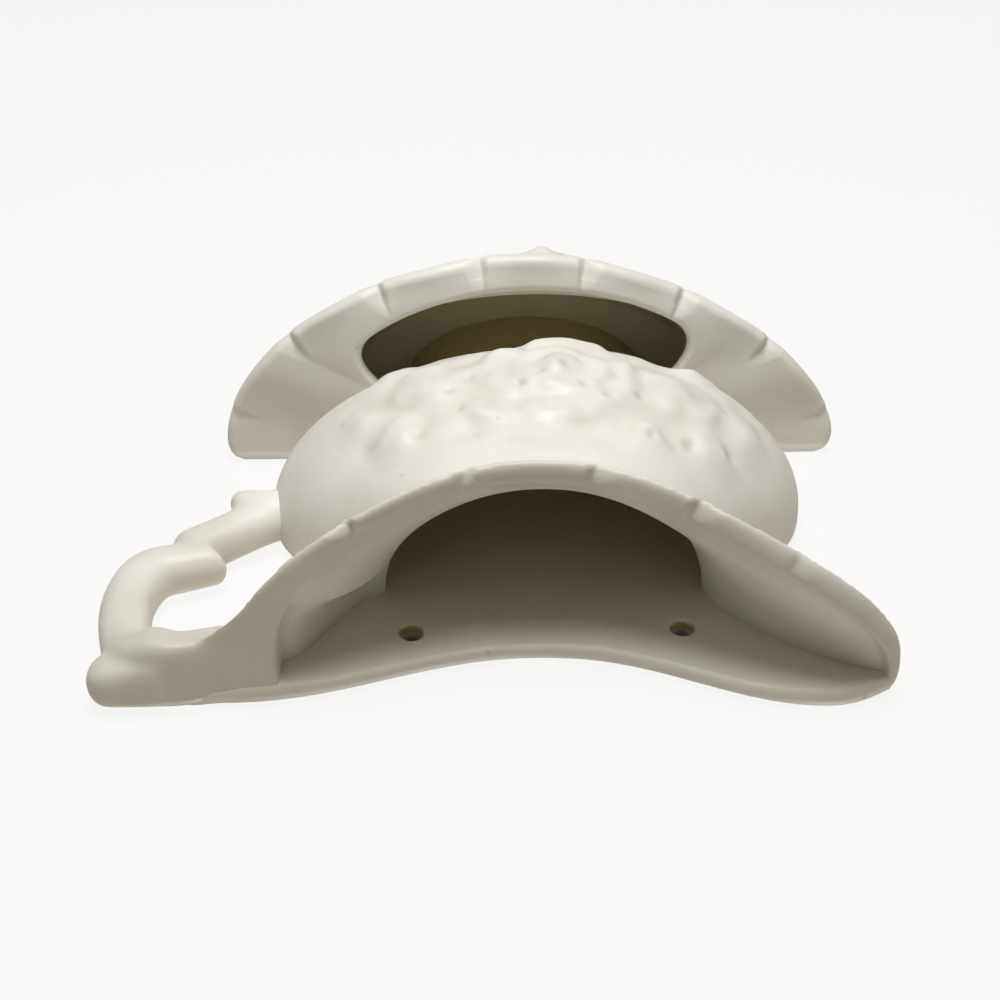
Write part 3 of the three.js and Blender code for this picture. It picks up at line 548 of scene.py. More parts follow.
def crimp(table, t, inward, spout_pitch=CRIMP_PITCH, lean=0.0):
    """Depth of the pinches, 0 to 1, inward mm from the edge; lean turns them square to it."""
    arc = np.interp(t, *table) + lean * inward
    pitch = np.where(np.cos(t) > 0, CRIMP_PITCH, spout_pitch)
    number = np.maximum(np.rint((arc - CRIMP_PITCH / 2) / pitch), 0)
    off = arc - CRIMP_PITCH / 2 - number * pitch
    share = np.clip(1 - inward / CRIMP_REACH, 0, 1)
    off = off / mix(0.35, 1, share)
    behind = np.clip(1 - off / CRIMP_BEHIND, 0, 1) ** 1.3
    valley = np.where(off > 0, behind, np.clip(1 + off / CRIMP_AHEAD, 0, 1))
    ridge = CRIMP_RIDGE * np.exp(-((off + CRIMP_AHEAD + 1.0) / 1.1) ** 2)
    return (valley - ridge) * smoothstep(share, 0, 1)


LIP_TABLE = crimp_table(lip_plan)


def lip_crimp(t, inward):
    """The lip's pinches grow faint towards the handle and the spout, and stop short of both."""
    arc = np.interp(t, *LIP_TABLE)
    shares = []
    for fades in (HANDLE_FADES, SPOUT_FADES):
        share = 1
        for lost, start, stop in fades:
            share = share - lost * smoothstep(arc, start, stop)
        shares.append(share)
    return crimp(LIP_TABLE, t, inward, SPOUT_PITCH) * np.where(np.cos(t) > 0, *shares)


print("length of the lip's edge, mm:", round(LIP_TABLE[1][0] + LIP_TABLE[1][-1], 1))

# %% [markdown]
# The profile of the lip comes up out of the belly's wall, flares to the edge, turns over a round
# crest and goes down into the mouth. At the handle's end the mouth falls away steeply behind it.

# %% Crimped lip
LIP_COLUMNS = 560
LIP_TAIL, LIP_TUCK = 5.0, 0.02  # the lip's ends run down to the wall and round off there
HANDLE_END_DROP, HANDLE_END_PIT, SPOUT_END_DROP = 4.5, 5.0, 1.2  # steps from the face into the mouth
LIP_CREST = 1.8
SKIRT, SKIRT_SINK = 6.0, 1.4  # the lip's foot runs down inside the belly's wall
HANDLE_END, SPOUT_END = (0.8, 0.97), (0.6, 0.95)  # spans of the cosine of the turn
# Painted shade on the lip, its edge band and the handle; the lumps are uneven pooled glaze.
LIP_PAINTED_SHADE, LIP_LUMP_POOL, BAND_PAINTED_SHADE, HANDLE_PAINTED_SHADE, BEND_LESS_SHADE = 0.3, 0.4, 0.6, 0.6, -0.35
LIP_LUMP_SIZE, BAND_WIDTH = 16, 3
LIP_POOL_AND_SHADE_HEIGHTS, BEND_FROM, BEND_TO = (NECK_HEIGHT, NECK_HEIGHT + 26), (108, 124), (146, 154)
LIP_END = LIP_SHIFT + LIP_HANDLE
HANDLE_PAINTED_SHADE_SPAN = LIP_END - 8, LIP_END + 6

flare_up = np.concatenate((np.linspace(-1, 0, 5)[:-1], np.linspace(0, 1, 26)))
crest_way = (1 - np.cos(np.linspace(0, math.pi, 18)[1:-1])) / 2
flare_down = np.linspace(1, 0, 22)
lip_rows = np.concatenate((flare_up, crest_way, flare_down))
lip_kind = np.repeat((0, 1, 2), (len(flare_up), len(crest_way), len(flare_down)))


def lip_shape(t, row):
    kind, value = lip_kind[row], lip_rows[row]
    v = np.where(kind == 1, 1, np.maximum(value, 0))
    skirt = np.where(kind == 0, np.maximum(-value, 0), 0)
    notch = -CRIMP_NOTCH * lip_crimp(t, 0 * t) * v ** 4
    outside = lip_flare(t, v, notch, lip_plan(t, notch), HANDLE_FLARE_OUTSIDE)
    under = ewer_surface(t, NECK_HEIGHT - SKIRT * skirt, -SKIRT_SINK * skirt)
    outside = np.where((skirt > 0)[:, None], under, outside)
    inside = lip_flare(t, v, -WALL, mouth_plan(t), HANDLE_FLARE_INSIDE)
    way = np.select((kind == 0, kind == 1), (0, value), 1)
    points = mix(outside, inside, way[:, None])
    width = lengths(outside - inside) / MM
    handle_end = smoothstep(np.cos(t), *HANDLE_END)
    spout_end = smoothstep(-np.cos(t), *SPOUT_END)
    crest = LIP_CREST * np.sqrt(np.maximum(1 - np.abs(2 * way - 1) ** 2.5, 0)) * mix(1, 0.45, handle_end)
    edge_share = np.where(kind == 0, v ** 10, 1)
    valley = CRIMP_DEPTH * lip_crimp(t, way * width) * np.where(kind == 2, 0, edge_share)
    pit = HANDLE_END_PIT * beside_back(t)
    drop = (HANDLE_END_DROP * handle_end + pit + SPOUT_END_DROP * spout_end) * np.where(kind == 2, v ** 3, 0)
    roll = spout_roll(t) * (1 - way) * np.where(kind == 0, v ** 6, np.where(kind == 1, 1, 0))
    points[:, 2] += (crest - valley - drop - roll) * MM
    return points


def lip_pool_and_shade(points):
    """Painted shade over the lip, most along its edge band, and on the handle, less on the handle's bend; the
    lumps are uneven pooled glaze.
    """
    x, _, z = measured(points)
    band = smoothstep(z - saddle(x), -BAND_WIDTH, 0)
    uneven = np.clip(lumps(points, LIP_LUMP_SIZE) + 0.3, 0, 1)
    lip = LIP_PAINTED_SHADE + LIP_LUMP_POOL * uneven + BAND_PAINTED_SHADE * band
    bend = smoothstep(z, *BEND_FROM) - smoothstep(z, *BEND_TO)
    handle = smoothstep(x, *HANDLE_PAINTED_SHADE_SPAN) * (HANDLE_PAINTED_SHADE + BEND_LESS_SHADE * bend)
    return lip * smoothstep(z, *LIP_POOL_AND_SHADE_HEIGHTS) + handle


lip_bm = walled(LIP_COLUMNS, len(lip_rows), lip_shape, LIP_TAIL, LIP_TUCK)
print("lip faces:", len(lip_bm.faces))

# %% [markdown]
# The basin is a bowl on a low foot ring. Only its edge shows from the front, but the slot lets
# one look into it. Bowl and ring are closed walls like the ewer, made by the same helper, with
# the bowl's floor running in to the back.

# %% Bowl and foot ring
BOWL_COLUMNS = 200
BOWL_HALF, BOWL_DEPTH = 76.0, 53.5
BOWL_FOOT_HALF, BOWL_FOOT_DEPTH, BOWL_SWELL = 46.0, 32.0, 0.8
FOOT_HEIGHT, FOOT_WIDTH, FOOT_INSET, FOOT_ROUND = 6.0, 7.0, 1.5, 1.6
BOWL_BASE, BOWL_TOP = 6.0, 48.0
BOWL_FLOOR = BOWL_BASE + WALL
# Painted shade inside the bowl, a little less towards its top.
BOWL_PAINTED_SHADE, BOWL_TOP_PAINTED_SHADE, BOWL_PAINTED_SHADE_HEIGHTS = 0.65, -0.1, (36, 50)
FOOT_BARE_HEIGHTS = 0.3, 2.5
FOOT_OVERLAP = 0.5  # how far the ring goes up into the bowl


def bowl_size(z, offset):
    u = np.clip((z - BOWL_BASE) / (BOWL_TOP - BOWL_BASE), 0, 1)
    swell = np.sin(u * math.pi / 2) ** BOWL_SWELL
    return mix(BOWL_FOOT_HALF, BOWL_HALF, swell) + offset, mix(BOWL_FOOT_DEPTH, BOWL_DEPTH, swell) + offset


def bowl_surface(t, z, offset=0.0):
    return half_ring(t, *bowl_size(z, offset), z)


bowl_up = BOWL_BASE + (BOWL_TOP - BOWL_BASE) * np.linspace(0, 1, 48) ** 1.5
bowl_heights = np.concatenate(([BOWL_BASE], bowl_up, bowl_up[::-2], [BOWL_FLOOR]))
bowl_part = np.repeat((0, 1, 2, 3), (1, len(bowl_up), len(bowl_up[::-2]), 1))


def bowl_shape(t, row):
    z, part = bowl_heights[row], bowl_part[row]
    points = bowl_surface(t, z, np.where(part == 2, -WALL, 0))
    middle = place(0 * t, SEAT, z)
    points = np.where(((part == 0) | (part == 3))[:, None], middle, points)
    floor = (np.maximum(z, BOWL_FLOOR) - HOLE_HEIGHT) * MM
    points[:, 2] = np.where(part == 2, floor, points[:, 2])
    return points


def in_bowl(points):
    x, out, z = measured(points)
    half, depth = bowl_size(z, -WALL / 2)
    return (x / half) ** 2 + (np.maximum(out - SEAT, 0) / (depth - SEAT)) ** 2 < 1


# Painted shade inside the bowl, a little less towards its top.
def bowl_painted_shade(points):
    stain = BOWL_PAINTED_SHADE + BOWL_TOP_PAINTED_SHADE * smoothstep(height_of(points), *BOWL_PAINTED_SHADE_HEIGHTS)
    return np.where(in_bowl(points), stain, 0)


bowl_bm = walled(BOWL_COLUMNS, len(bowl_heights), bowl_shape)
fire("basin_bowl_shell", bowl_bm, "ivory_glaze", ("basin_bowl",), stain=bowl_painted_shade)

foot_turn = np.linspace(0, math.pi / 2, 5)
foot_in = np.concatenate((FOOT_ROUND * (1 - np.sin(foot_turn)), [0, FOOT_WIDTH],
                          FOOT_WIDTH - FOOT_ROUND * (1 - np.sin(foot_turn[::-1]))))
foot_up = np.concatenate((FOOT_ROUND * (1 - np.cos(foot_turn)), [FOOT_HEIGHT + FOOT_OVERLAP] * 2,
                          FOOT_ROUND * (1 - np.cos(foot_turn[::-1]))))


def foot_shape(t, row):
    inset = FOOT_INSET + foot_in[row]
    return half_ring(t, BOWL_FOOT_HALF - inset, BOWL_FOOT_DEPTH - inset, foot_up[row])


def foot_pool(points):
    return fading(height_of(points), *FOOT_BARE_HEIGHTS)


foot_bm = walled(BOWL_COLUMNS, len(foot_in), foot_shape)
fire("basin_foot_ring", foot_bm, "glazed_back", ("basin_foot",), foot_pool)

# %% [markdown]
# The basin's rim is a wide flat flange with the same pinches as the lip. In front of the ewer a
# crescent slot goes through it. The inner edge of the sheet follows the ewer at both sides and
# leaves it along the slot, so no cutting is needed and the slot's edge stays soft.

# %% Basin rim
TINY = 0.01  # step for measuring slopes
RIM_COLUMNS = 620
RIM_HEIGHT, RIM_THICKNESS, RIM_HALF, RIM_DEPTH = 52.0, 5.0, 85.0, 60.0
RIM_FULLNESS_HANDLE, RIM_FULLNESS_SPOUT = 1.87, 1.66
SLOT_HANDLE_HALF, SLOT_SPOUT_HALF, SLOT_CURVE_HALF, SLOT_DEPTH = 51.0, 47.0, 62.0, 50.5
SLOT_TURN, SLOT_CORNER = 0.22, 2.6
RIM_ROUND = 2.3
RIM_TAIL, RIM_TUCK = 5.0, 0.035  # the flange's ends run down to the wall and round off there
RIM_SINK = 1.2  # how far the rim's inner edge goes into the ewer's wall
RIM_DROOP = 2.0  # how far the front edge hangs
LOBE_SWELL = 0.5
RIM_FADE, RIM_FADE_SPAN = 0.6, (0.8, 0.93)  # the pinches grow faint beside the back
# The rim's pool is uneven glaze; the slot's underside gets painted shade.
RIM_POOL, RIM_LUMP_SIZE, RIM_PAINTED_SHADE, RIM_PAINTED_SHADE_HEIGHTS = 0.15, 18, 0.5, (46.5, 49.5)
SLOT_ENDS = (math.acos(SLOT_HANDLE_HALF / SLOT_CURVE_HALF),
             math.pi - math.acos(SLOT_SPOUT_HALF / SLOT_CURVE_HALF))


def rim_plan(t, offset=0.0):
    fullness = np.where(np.cos(t) > 0, RIM_FULLNESS_HANDLE, RIM_FULLNESS_SPOUT)
    return half_ring(t, RIM_HALF + offset, RIM_DEPTH + offset, 0, fullness)


def slot_share(t):
    turned = np.clip(np.minimum(t - SLOT_ENDS[0], SLOT_ENDS[1] - t) / SLOT_TURN, 0, 1)
    return (1 - (1 - turned) ** SLOT_CORNER) ** (1 / SLOT_CORNER)


edge_turn = np.linspace(0, math.pi, 10)[1:-1]
top_way = np.linspace(0, 1, 30)
under_way = np.linspace(1, 0, 12)
# For each row: share of the flat between the rounded edges, part of the edge's radius past it, height
rim_way = np.concatenate((top_way, np.ones(len(edge_turn)), under_way, np.zeros(len(edge_turn))))
rim_past = np.concatenate((0 * top_way, np.sin(edge_turn), 0 * under_way, -np.sin(edge_turn)))
rim_lift = np.concatenate((0 * top_way + 1, np.cos(edge_turn), 0 * under_way - 1, -np.cos(edge_turn)))
RIM_TABLE = crimp_table(rim_plan)


def rim_shape(t, row):
    way, past, lift = rim_way[row], rim_past[row], rim_lift[row]
    fade = 1 - RIM_FADE * smoothstep(np.abs(np.cos(t)), *RIM_FADE_SPAN)
    notch = CRIMP_NOTCH * crimp(RIM_TABLE, t, 0 * t) * fade
    outer = rim_plan(t, -notch * np.where(way > 0.5, 1, 0))
    beside = ewer_surface(t, np.full(len(t), RIM_HEIGHT), -RIM_SINK)
    along = half_ring(t, SLOT_CURVE_HALF, SLOT_DEPTH, 0)
    inner = mix(beside, along, slot_share(t)[:, None])
    width = lengths((outer - inner)[:, :2]) / MM
    from_inner = RIM_ROUND + way * (width - 2 * RIM_ROUND) + past * RIM_ROUND
    points = mix(inner, outer, (from_inner / width)[:, None])
    inward = width - from_inner
    along_edge = rim_plan(np.maximum(t - TINY, 0)) - rim_plan(np.minimum(t + TINY, math.pi))
    along_edge *= np.sign(np.cos(t))[:, None]
    along_edge /= lengths(along_edge)[:, None]
    lean = np.sum((inner - outer)[:, :2] * along_edge[:, :2], axis=1) / (width * MM)
    up = np.clip(lift + 0.3, 0, 1)
    arc = np.interp(t, *RIM_TABLE)
    lobe = LOBE_SWELL * np.cos(arc / CRIMP_PITCH * 2 * math.pi) * smoothstep(from_inner, 3, width)
    droop = RIM_DROOP * (0.35 + 0.65 * np.sin(t) ** 2) * smoothstep(from_inner, 0, width)
    valley = CRIMP_DEPTH * crimp(RIM_TABLE, t, inward, lean=lean) * up * fade
    z = RIM_HEIGHT - RIM_THICKNESS / 2 + lift * RIM_THICKNESS / 2 + lobe - droop - valley
    points[:, 2] = (z - HOLE_HEIGHT) * MM
    return points


def rim_pool(points):
    return RIM_POOL * np.clip(lumps(points, RIM_LUMP_SIZE) + 0.2, 0, 1)


def rim_painted_shade(points):
    """The slot's edge takes the basin's painted shade on its underside only."""
    return np.where(in_bowl(points), RIM_PAINTED_SHADE * fading(height_of(points), *RIM_PAINTED_SHADE_HEIGHTS), 0)


rim_bm = walled(RIM_COLUMNS, len(rim_way), rim_shape, RIM_TAIL, RIM_TUCK)
fire("basin_crimped_rim", rim_bm, "ivory_glaze", ("basin_rim",), rim_pool, rim_painted_shade)

# %% [markdown]
# The flat back closes ewer and basin towards the wall, and carries the two screw holes. Its
# outline follows bowl, rim, belly and flare, each by the formula that made it, and ends along
# the saddle of the mouth.

# %% Outline of the back
HOLE_DIAMETER, HOLE_SPACING, HOLE_SIDES = 5.2, 64.0, 48
RIM_CORNER, RIM_COVER = 2.2, 0.6  # how far the back stays inside the flange
BACK_RISE = 1.5  # the back's top edge meets the crest of the lip
LIP_CORNER = 0.95  # share of the flare at which the back's corners under the lip are cut off


def back_side(t):
    """Outline of one side, from the foot up to the end of the lip, as x and z in mm."""
    sign = math.copysign(1, math.cos(t))
    bowl_z = np.linspace(BOWL_BASE, RIM_HEIGHT - RIM_THICKNESS - RIM_COVER, 40)
    rim_turn = np.linspace(-math.pi / 2, math.pi / 2, 9)
    belly_z = np.linspace(RIM_HEIGHT - RIM_COVER, NECK_HEIGHT, 70)
    flare_v = np.linspace(0, LIP_CORNER, 40)[1:]
    angle = np.full(len(bowl_z), t), np.full(len(belly_z), t), np.full(len(flare_v), t)
    flare = lip_flare(angle[2], flare_v, 0.0, lip_plan(angle[2]), HANDLE_FLARE_OUTSIDE)
    rim_mid = RIM_HEIGHT - RIM_THICKNESS / 2 - RIM_COVER
    rim_x = sign * (RIM_HALF - RIM_CORNER - RIM_ROUND + RIM_ROUND * np.cos(rim_turn))
    parts = (
        np.array([[sign * (BOWL_FOOT_HALF - FOOT_INSET), 0]]),
        np.stack((bowl_surface(angle[0], bowl_z)[:, 0] / MM, bowl_z), 1),
        np.stack((rim_x, rim_mid + RIM_THICKNESS / 2 * np.sin(rim_turn)), 1),
        np.stack((ewer_surface(angle[1], belly_z)[:, 0] / MM, belly_z), 1),
        np.stack((flare[:, 0] / MM, height_of(flare)), 1),
    )
    return np.concatenate(parts)


def back_outline():
    right, left = back_side(0.0), back_side(math.pi)
    top_x = np.linspace(right[-1, 0] + 1, left[-1, 0] - 1, 120)
    top = np.stack((top_x, saddle(top_x) + BACK_RISE), 1)
    line = np.concatenate((right, top, left[::-1]))
    return line[lengths(line - np.roll(line, 1, axis=0)) > 0.05]


def hole_outline(x):
    turn = np.linspace(2 * math.pi, 0, HOLE_SIDES, endpoint=False)
    radius = HOLE_DIAMETER / 2
    return np.stack((x + radius * np.cos(turn), HOLE_HEIGHT + radius * np.sin(turn)), 1)


BACK_LINE = back_outline()
print("points of the back's outline:", len(BACK_LINE))

# %% [markdown]
# Outline and holes are stacked in rings that draw in towards both faces, so every edge is round.
# The faces between are filled, and a voxel remesh spreads an even grain over the whole.

# %% Flat back
BACK = 5.0
BACK_VOXEL, BACK_SMOOTHING = 0.8, 4
BACK_ROUND, HOLE_ROUND, ROUND_STEPS = 2.3, 0.9, 7
CORNER_FADE = 8.0  # towards the corners under the lip the rounding of the back's edge fades out
TOP_THINNING, THINNING_REACH, THINNING_FADE = 0.15, 14.0, (46, 62)  # towards the edge of the mouth
# The first of these is the reach of the painted shade round each screw hole.
HOLE_PAINTED_SHADE, FRONT_FACE, REAR_FACE = 0.56, 0.7, 1.0  # in diameters, in thicknesses and in mm
REAR_POOL, REAR_UNEVEN, REAR_LUMP_SIZE, FRONT_POOL = 0.35, 0.5, 22, 0.1


def stacked_edge(bm, line, rounding, share=1.0):
    """Rings through the back's thickness, drawn into the clay at both faces; gives the end edges."""
    tangent = np.roll(line, -1, axis=0) - np.roll(line, 1, axis=0)
    inward = np.stack((-tangent[:, 1], tangent[:, 0]), 1) / lengths(tangent)[:, None]
    inward *= np.broadcast_to(share, len(line))[:, None]
    swing = np.linspace(0, math.pi / 2, ROUND_STEPS)
    depth = rounding * (1 - np.cos(swing))
    draw = rounding * (1 - np.sin(swing))
    stack = list(zip(depth, draw)) + list(zip(BACK - depth[::-1], draw[::-1]))
    rings = []
    for d, drawn in stack:
        at = line + drawn * inward
        rings.append([bm.verts.new(point) for point in place(at[:, 0], d, at[:, 1])])
    for low, high in zip(rings, rings[1:]):
        for i in range(len(low)):
            bm.faces.new((low[i - 1], low[i], high[i], high[i - 1]))
    return [[bm.edges.get((ring[i - 1], ring[i])) for i in range(len(ring))]
            for ring in (rings[0], rings[-1])]


def back_bmesh():
    bm = bmesh.new()
    corners = [back_side(t)[-1] for t in (0.0, math.pi)]
    nearest = np.min([lengths(BACK_LINE - corner) for corner in corners], axis=0)
    ends = [stacked_edge(bm, BACK_LINE, BACK_ROUND, smoothstep(nearest, 0, CORNER_FADE))]
    for x in (-HOLE_SPACING / 2, HOLE_SPACING / 2):
        ends.append(stacked_edge(bm, hole_outline(x), HOLE_ROUND))
    for face in zip(*ends):
        bmesh.ops.triangle_fill(bm, edges=[edge for ring in face for edge in ring], use_beauty=True)
    bmesh.ops.recalc_face_normals(bm, faces=bm.faces)
    return bm


def softened(bm, voxel, smoothing):
    """The same clay with rounded edges: a voxel remesh and a smooth, kept as the mesh."""
    mesh = as_mesh("soft_clay", bm)
    rough = linked("soft_clay", mesh)
    remesh = rough.modifiers.new("remesh", "REMESH")
    remesh.mode = "VOXEL"
    remesh.voxel_size = voxel * MM
    smooth = rough.modifiers.new("smooth", "SMOOTH")
    smooth.factor = 0.5
    smooth.iterations = smoothing
    graph = bpy.context.evaluated_depsgraph_get()
    result = bmesh.new()
    result.from_mesh(rough.evaluated_get(graph).to_mesh())
    bpy.data.objects.remove(rough)
    bpy.data.meshes.remove(mesh)
    return result


def verts_of(bm):
    return np.array([vert.co[:] for vert in bm.verts])


def thinned(bm):
    """The back's front face leans back a little towards the mouth's edge."""
    x, _, z = measured(verts_of(bm))
    below = saddle(x) + BACK_RISE - z
    share = fading(below, 0, THINNING_REACH) * fading(np.abs(x - LIP_SHIFT), *THINNING_FADE)
    for vert, thin in zip(bm.verts, share):
        vert.co.y *= 1 - TOP_THINNING * thin
    return bm


def back_painted_shade(points):
    """Painted shade on the face in the ewer and in the mouth, and in the screw holes."""
    x, depth, z = measured(points)
    hollow = (in_ewer(points, WALL) & (z > BOWL_FLOOR + 1)) | (z > NECK_HEIGHT)
    hole = np.hypot(np.abs(x) - HOLE_SPACING / 2, z - HOLE_HEIGHT) < HOLE_PAINTED_SHADE * HOLE_DIAMETER
    return np.where((depth > FRONT_FACE * BACK) & hollow, np.maximum(mouth_painted_shade(z), hole), 0)


def back_pool(points):
    """The wiped rear face shows more clay."""
    rear = points[:, 1] > -REAR_FACE * MM
    return np.where(rear, REAR_POOL + REAR_UNEVEN * lumps(points, REAR_LUMP_SIZE), FRONT_POOL)


back_bm = thinned(softened(back_bmesh(), BACK_VOXEL, BACK_SMOOTHING))
fire("flat_back", back_bm, "glazed_back", ("back_wall",), back_pool, back_painted_shade)

# %% [markdown]
# The handle is a pruned rose stem: a broad ledge grows out of the lip, loops down and ends cut
# off, and a twig runs from there into the belly. The centre line is a smooth curve through a few
# places, and a section that changes from a flat ledge to a round stem is carried along it.

# %% Handle route
LEDGE_HEIGHT, ROOT_SINK, ROOT_DIVE = 156.4, 16.0, 5.5
HANDLE_OUT, LOOP_RISE, LOOP_BEND = 24.1, 47.1, 16.0


def handle_points():
    outer = LIP_END + HANDLE_OUT
    middle = BELLY_HEIGHT + LOOP_RISE
    return np.array((
        (LIP_END - ROOT_SINK, LEDGE_HEIGHT - ROOT_DIVE),
        (LIP_END - ROOT_SINK / 2, LEDGE_HEIGHT - ROOT_DIVE / 2),
        (LIP_END + 0.05 * HANDLE_OUT, LEDGE_HEIGHT - ROOT_DIVE / 3),
        (LIP_END + 0.43 * HANDLE_OUT, LEDGE_HEIGHT),
        (outer - 0.24 * HANDLE_OUT, mix(LEDGE_HEIGHT, middle, 0.1)),
        (outer - 0.1 * HANDLE_OUT, mix(LEDGE_HEIGHT, middle, 0.46)),
        (outer, middle),
        (outer - 0.05 * HANDLE_OUT, middle - 0.62 * LOOP_BEND),
        (outer - 0.19 * HANDLE_OUT, middle - LOOP_BEND),
        (outer - 0.44 * HANDLE_OUT, middle - 1.15 * LOOP_BEND),
        (outer - 0.88 * HANDLE_OUT, middle - 1.34 * LOOP_BEND),
    ))


def smooth_route(points, per_span=60):
    """A smooth line through the points, the share of the way at each of its points, its length."""
    padded = np.concatenate(([2 * points[0] - points[1]], points, [2 * points[-1] - points[-2]]))
    line = []
    for a, b, c, d in zip(padded, padded[1:], padded[2:], padded[3:]):
        ab, bc, cd = (max(np.linalg.norm(q - p), 1e-6) ** 0.5 for p, q in ((a, b), (b, c), (c, d)))
        start = ((b - a) / ab - (c - a) / (ab + bc) + (c - b) / bc) * bc
        stop = ((c - b) / bc - (d - b) / (bc + cd) + (d - c) / cd) * bc
        s = np.linspace(0, 1, per_span, endpoint=False)[:, None]
        line.append(b * (2 * s**3 - 3 * s**2 + 1) + start * (s**3 - 2 * s**2 + s)
                    + c * (3 * s**2 - 2 * s**3) + stop * (s**3 - s**2))
    line = np.concatenate(line + [points[-1:]])
    way = np.concatenate(([0], np.cumsum(lengths(np.diff(line, axis=0)))))
    return line, way / way[-1], way[-1]


HANDLE_LINE, HANDLE_WAY, HANDLE_LENGTH = smooth_route(handle_points())


def handle_at(u):
    """Centre and direction on the handle, as x and z."""
    slope = np.gradient(HANDLE_LINE, HANDLE_WAY, axis=0)
    centre, ahead = (np.stack([np.interp(u, HANDLE_WAY, line[:, i]) for i in (0, 1)], 1)
                     for line in (HANDLE_LINE, slope))
    return centre, ahead / lengths(ahead)[:, None]


print("stem length, mm:", round(HANDLE_LENGTH, 1))

# %% [markdown]
# Ledge, loop, twig and stubs are tubes rolled from grids, with a faint wave of bark. The stem's
# section is flat towards the wall, and beside the lip the ledge is cut back under its edge.

# %% Stem and twigs
STEM_ROWS, STEM_SIDES = 240, 72
STEM_RADIUS, STEM_DEPTH, STEM_SQUARE = 6.3, 5.7, 0.84  # squareness 1 is round, less is squarer
LEDGE_HALF_HEIGHT, LEDGE_HALF_DEPTH, ROOT_SLIM, ROOT_SPAN = 6.6, 12.2, 0.55, 0.15
LEDGE_ROOT_SQUARE, LEDGE_FRONT_SQUARE, LEDGE_BACK_SQUARE = 0.3, 0.6, 0.1
CUT_SLANT = 0.06  # how much sooner the stem ends on its lower side
LEDGE_HOLD, LEDGE_SPAN = 0.3, 0.47  # shares of the stem between which the ledge thins to the loop
UNDERCUT, UNDERCUT_SPAN = 0.62, (0.22, 0.37)  # beside the lip the ledge is cut back under its edge
EDGE_REACH = 0.24  # and its upper edge reaches further out
CUT_END_START, CUT_END_TAPER, CUT_END_ROUND = 0.9, 0.88, 0.55
WALL_ROUND = 2.9
TWIG_ROWS, TWIG_SIDES = 60, 56
TWIG_NECK = 0.6  # share of a twig's rows before its round end
BARK_WAVE, BARK_LENGTH, BARK_GRAIN = 0.35, 11, 1.6
OFF_WALL = 1.0  # the twigs stay this far from the wall


def rounded_power(x, power):
    return np.sign(x) * np.abs(x) ** power


def rolled(rows, sides, shape):
    """A sheet rolled into a tube, with its seam merged and its ends closed."""
    return clay_sheet(sides, rows, lambda u, v: shape(v, u * 2 * math.pi))


def bark(along, turn):
    seen = np.stack((along / BARK_LENGTH, BARK_GRAIN * np.cos(turn), BARK_GRAIN * np.sin(turn)), 1)
    return BARK_WAVE * np.array([noise.noise(Vector(p)) for p in seen])


def stem_shape(u, turn):
    """A point of the stem's skin: share of its length and angle round it."""
    past = np.clip((u - CUT_END_START) / (1 - CUT_END_START), 0, 1)
    u = np.where(past > 0, mix(CUT_END_START, 1, np.sin(past * math.pi / 2)), u)
    u = u - CUT_SLANT * past * (0.5 - 0.5 * np.cos(turn))
    blunt = np.sqrt(np.maximum(1 - np.clip((past - CUT_END_ROUND) / (1 - CUT_END_ROUND), 0, 1) ** 2.5, 0))
    centre, ahead = handle_at(u)
    ledge = fading(u, LEDGE_HOLD, LEDGE_SPAN)
    on_wall = fading(u, LEDGE_SPAN, 1)
    root = mix(ROOT_SLIM, 1, smoothstep(u, 0, ROOT_SPAN))
    skin = bark(u * HANDLE_LENGTH, turn) * smoothstep(u, 0.3, 0.5)
    radius = STEM_RADIUS * mix(1, CUT_END_TAPER, smoothstep(u, 0.8, 1)) * blunt
    high = mix(radius, LEDGE_HALF_HEIGHT * root, ledge) + skin * blunt
    deep = mix(radius, LEDGE_HALF_DEPTH * root, ledge) + skin * blunt
    ledge_square = mix(LEDGE_ROOT_SQUARE, LEDGE_FRONT_SQUARE, smoothstep(u, 0.12, 0.32))
    square = mix(STEM_SQUARE, ledge_square, ledge)
    behind = np.sin(turn) < 0
    aside_square = np.where(behind, mix(square, LEDGE_BACK_SQUARE, on_wall), square)
    beside_lip = fading(u, *UNDERCUT_SPAN)
    below = (0.5 + 0.5 * np.cos(turn)) * UNDERCUT * beside_lip
    deep = deep * np.where(behind, 1, (1 - below) * (1 + EDGE_REACH * beside_lip))
    depth = np.maximum(STEM_DEPTH + deep * rounded_power(np.sin(turn), np.where(behind, 1, square)), 0)
    turned = 1 - np.minimum(depth, WALL_ROUND) / WALL_ROUND
    pulled = np.minimum(WALL_ROUND * (1 - np.sqrt(1 - turned**2)), high)
    aside = rounded_power(np.cos(turn), aside_square) * (high - pulled)
    return place(centre[:, 0] + aside * ahead[:, 1], depth, centre[:, 1] - aside * ahead[:, 0])


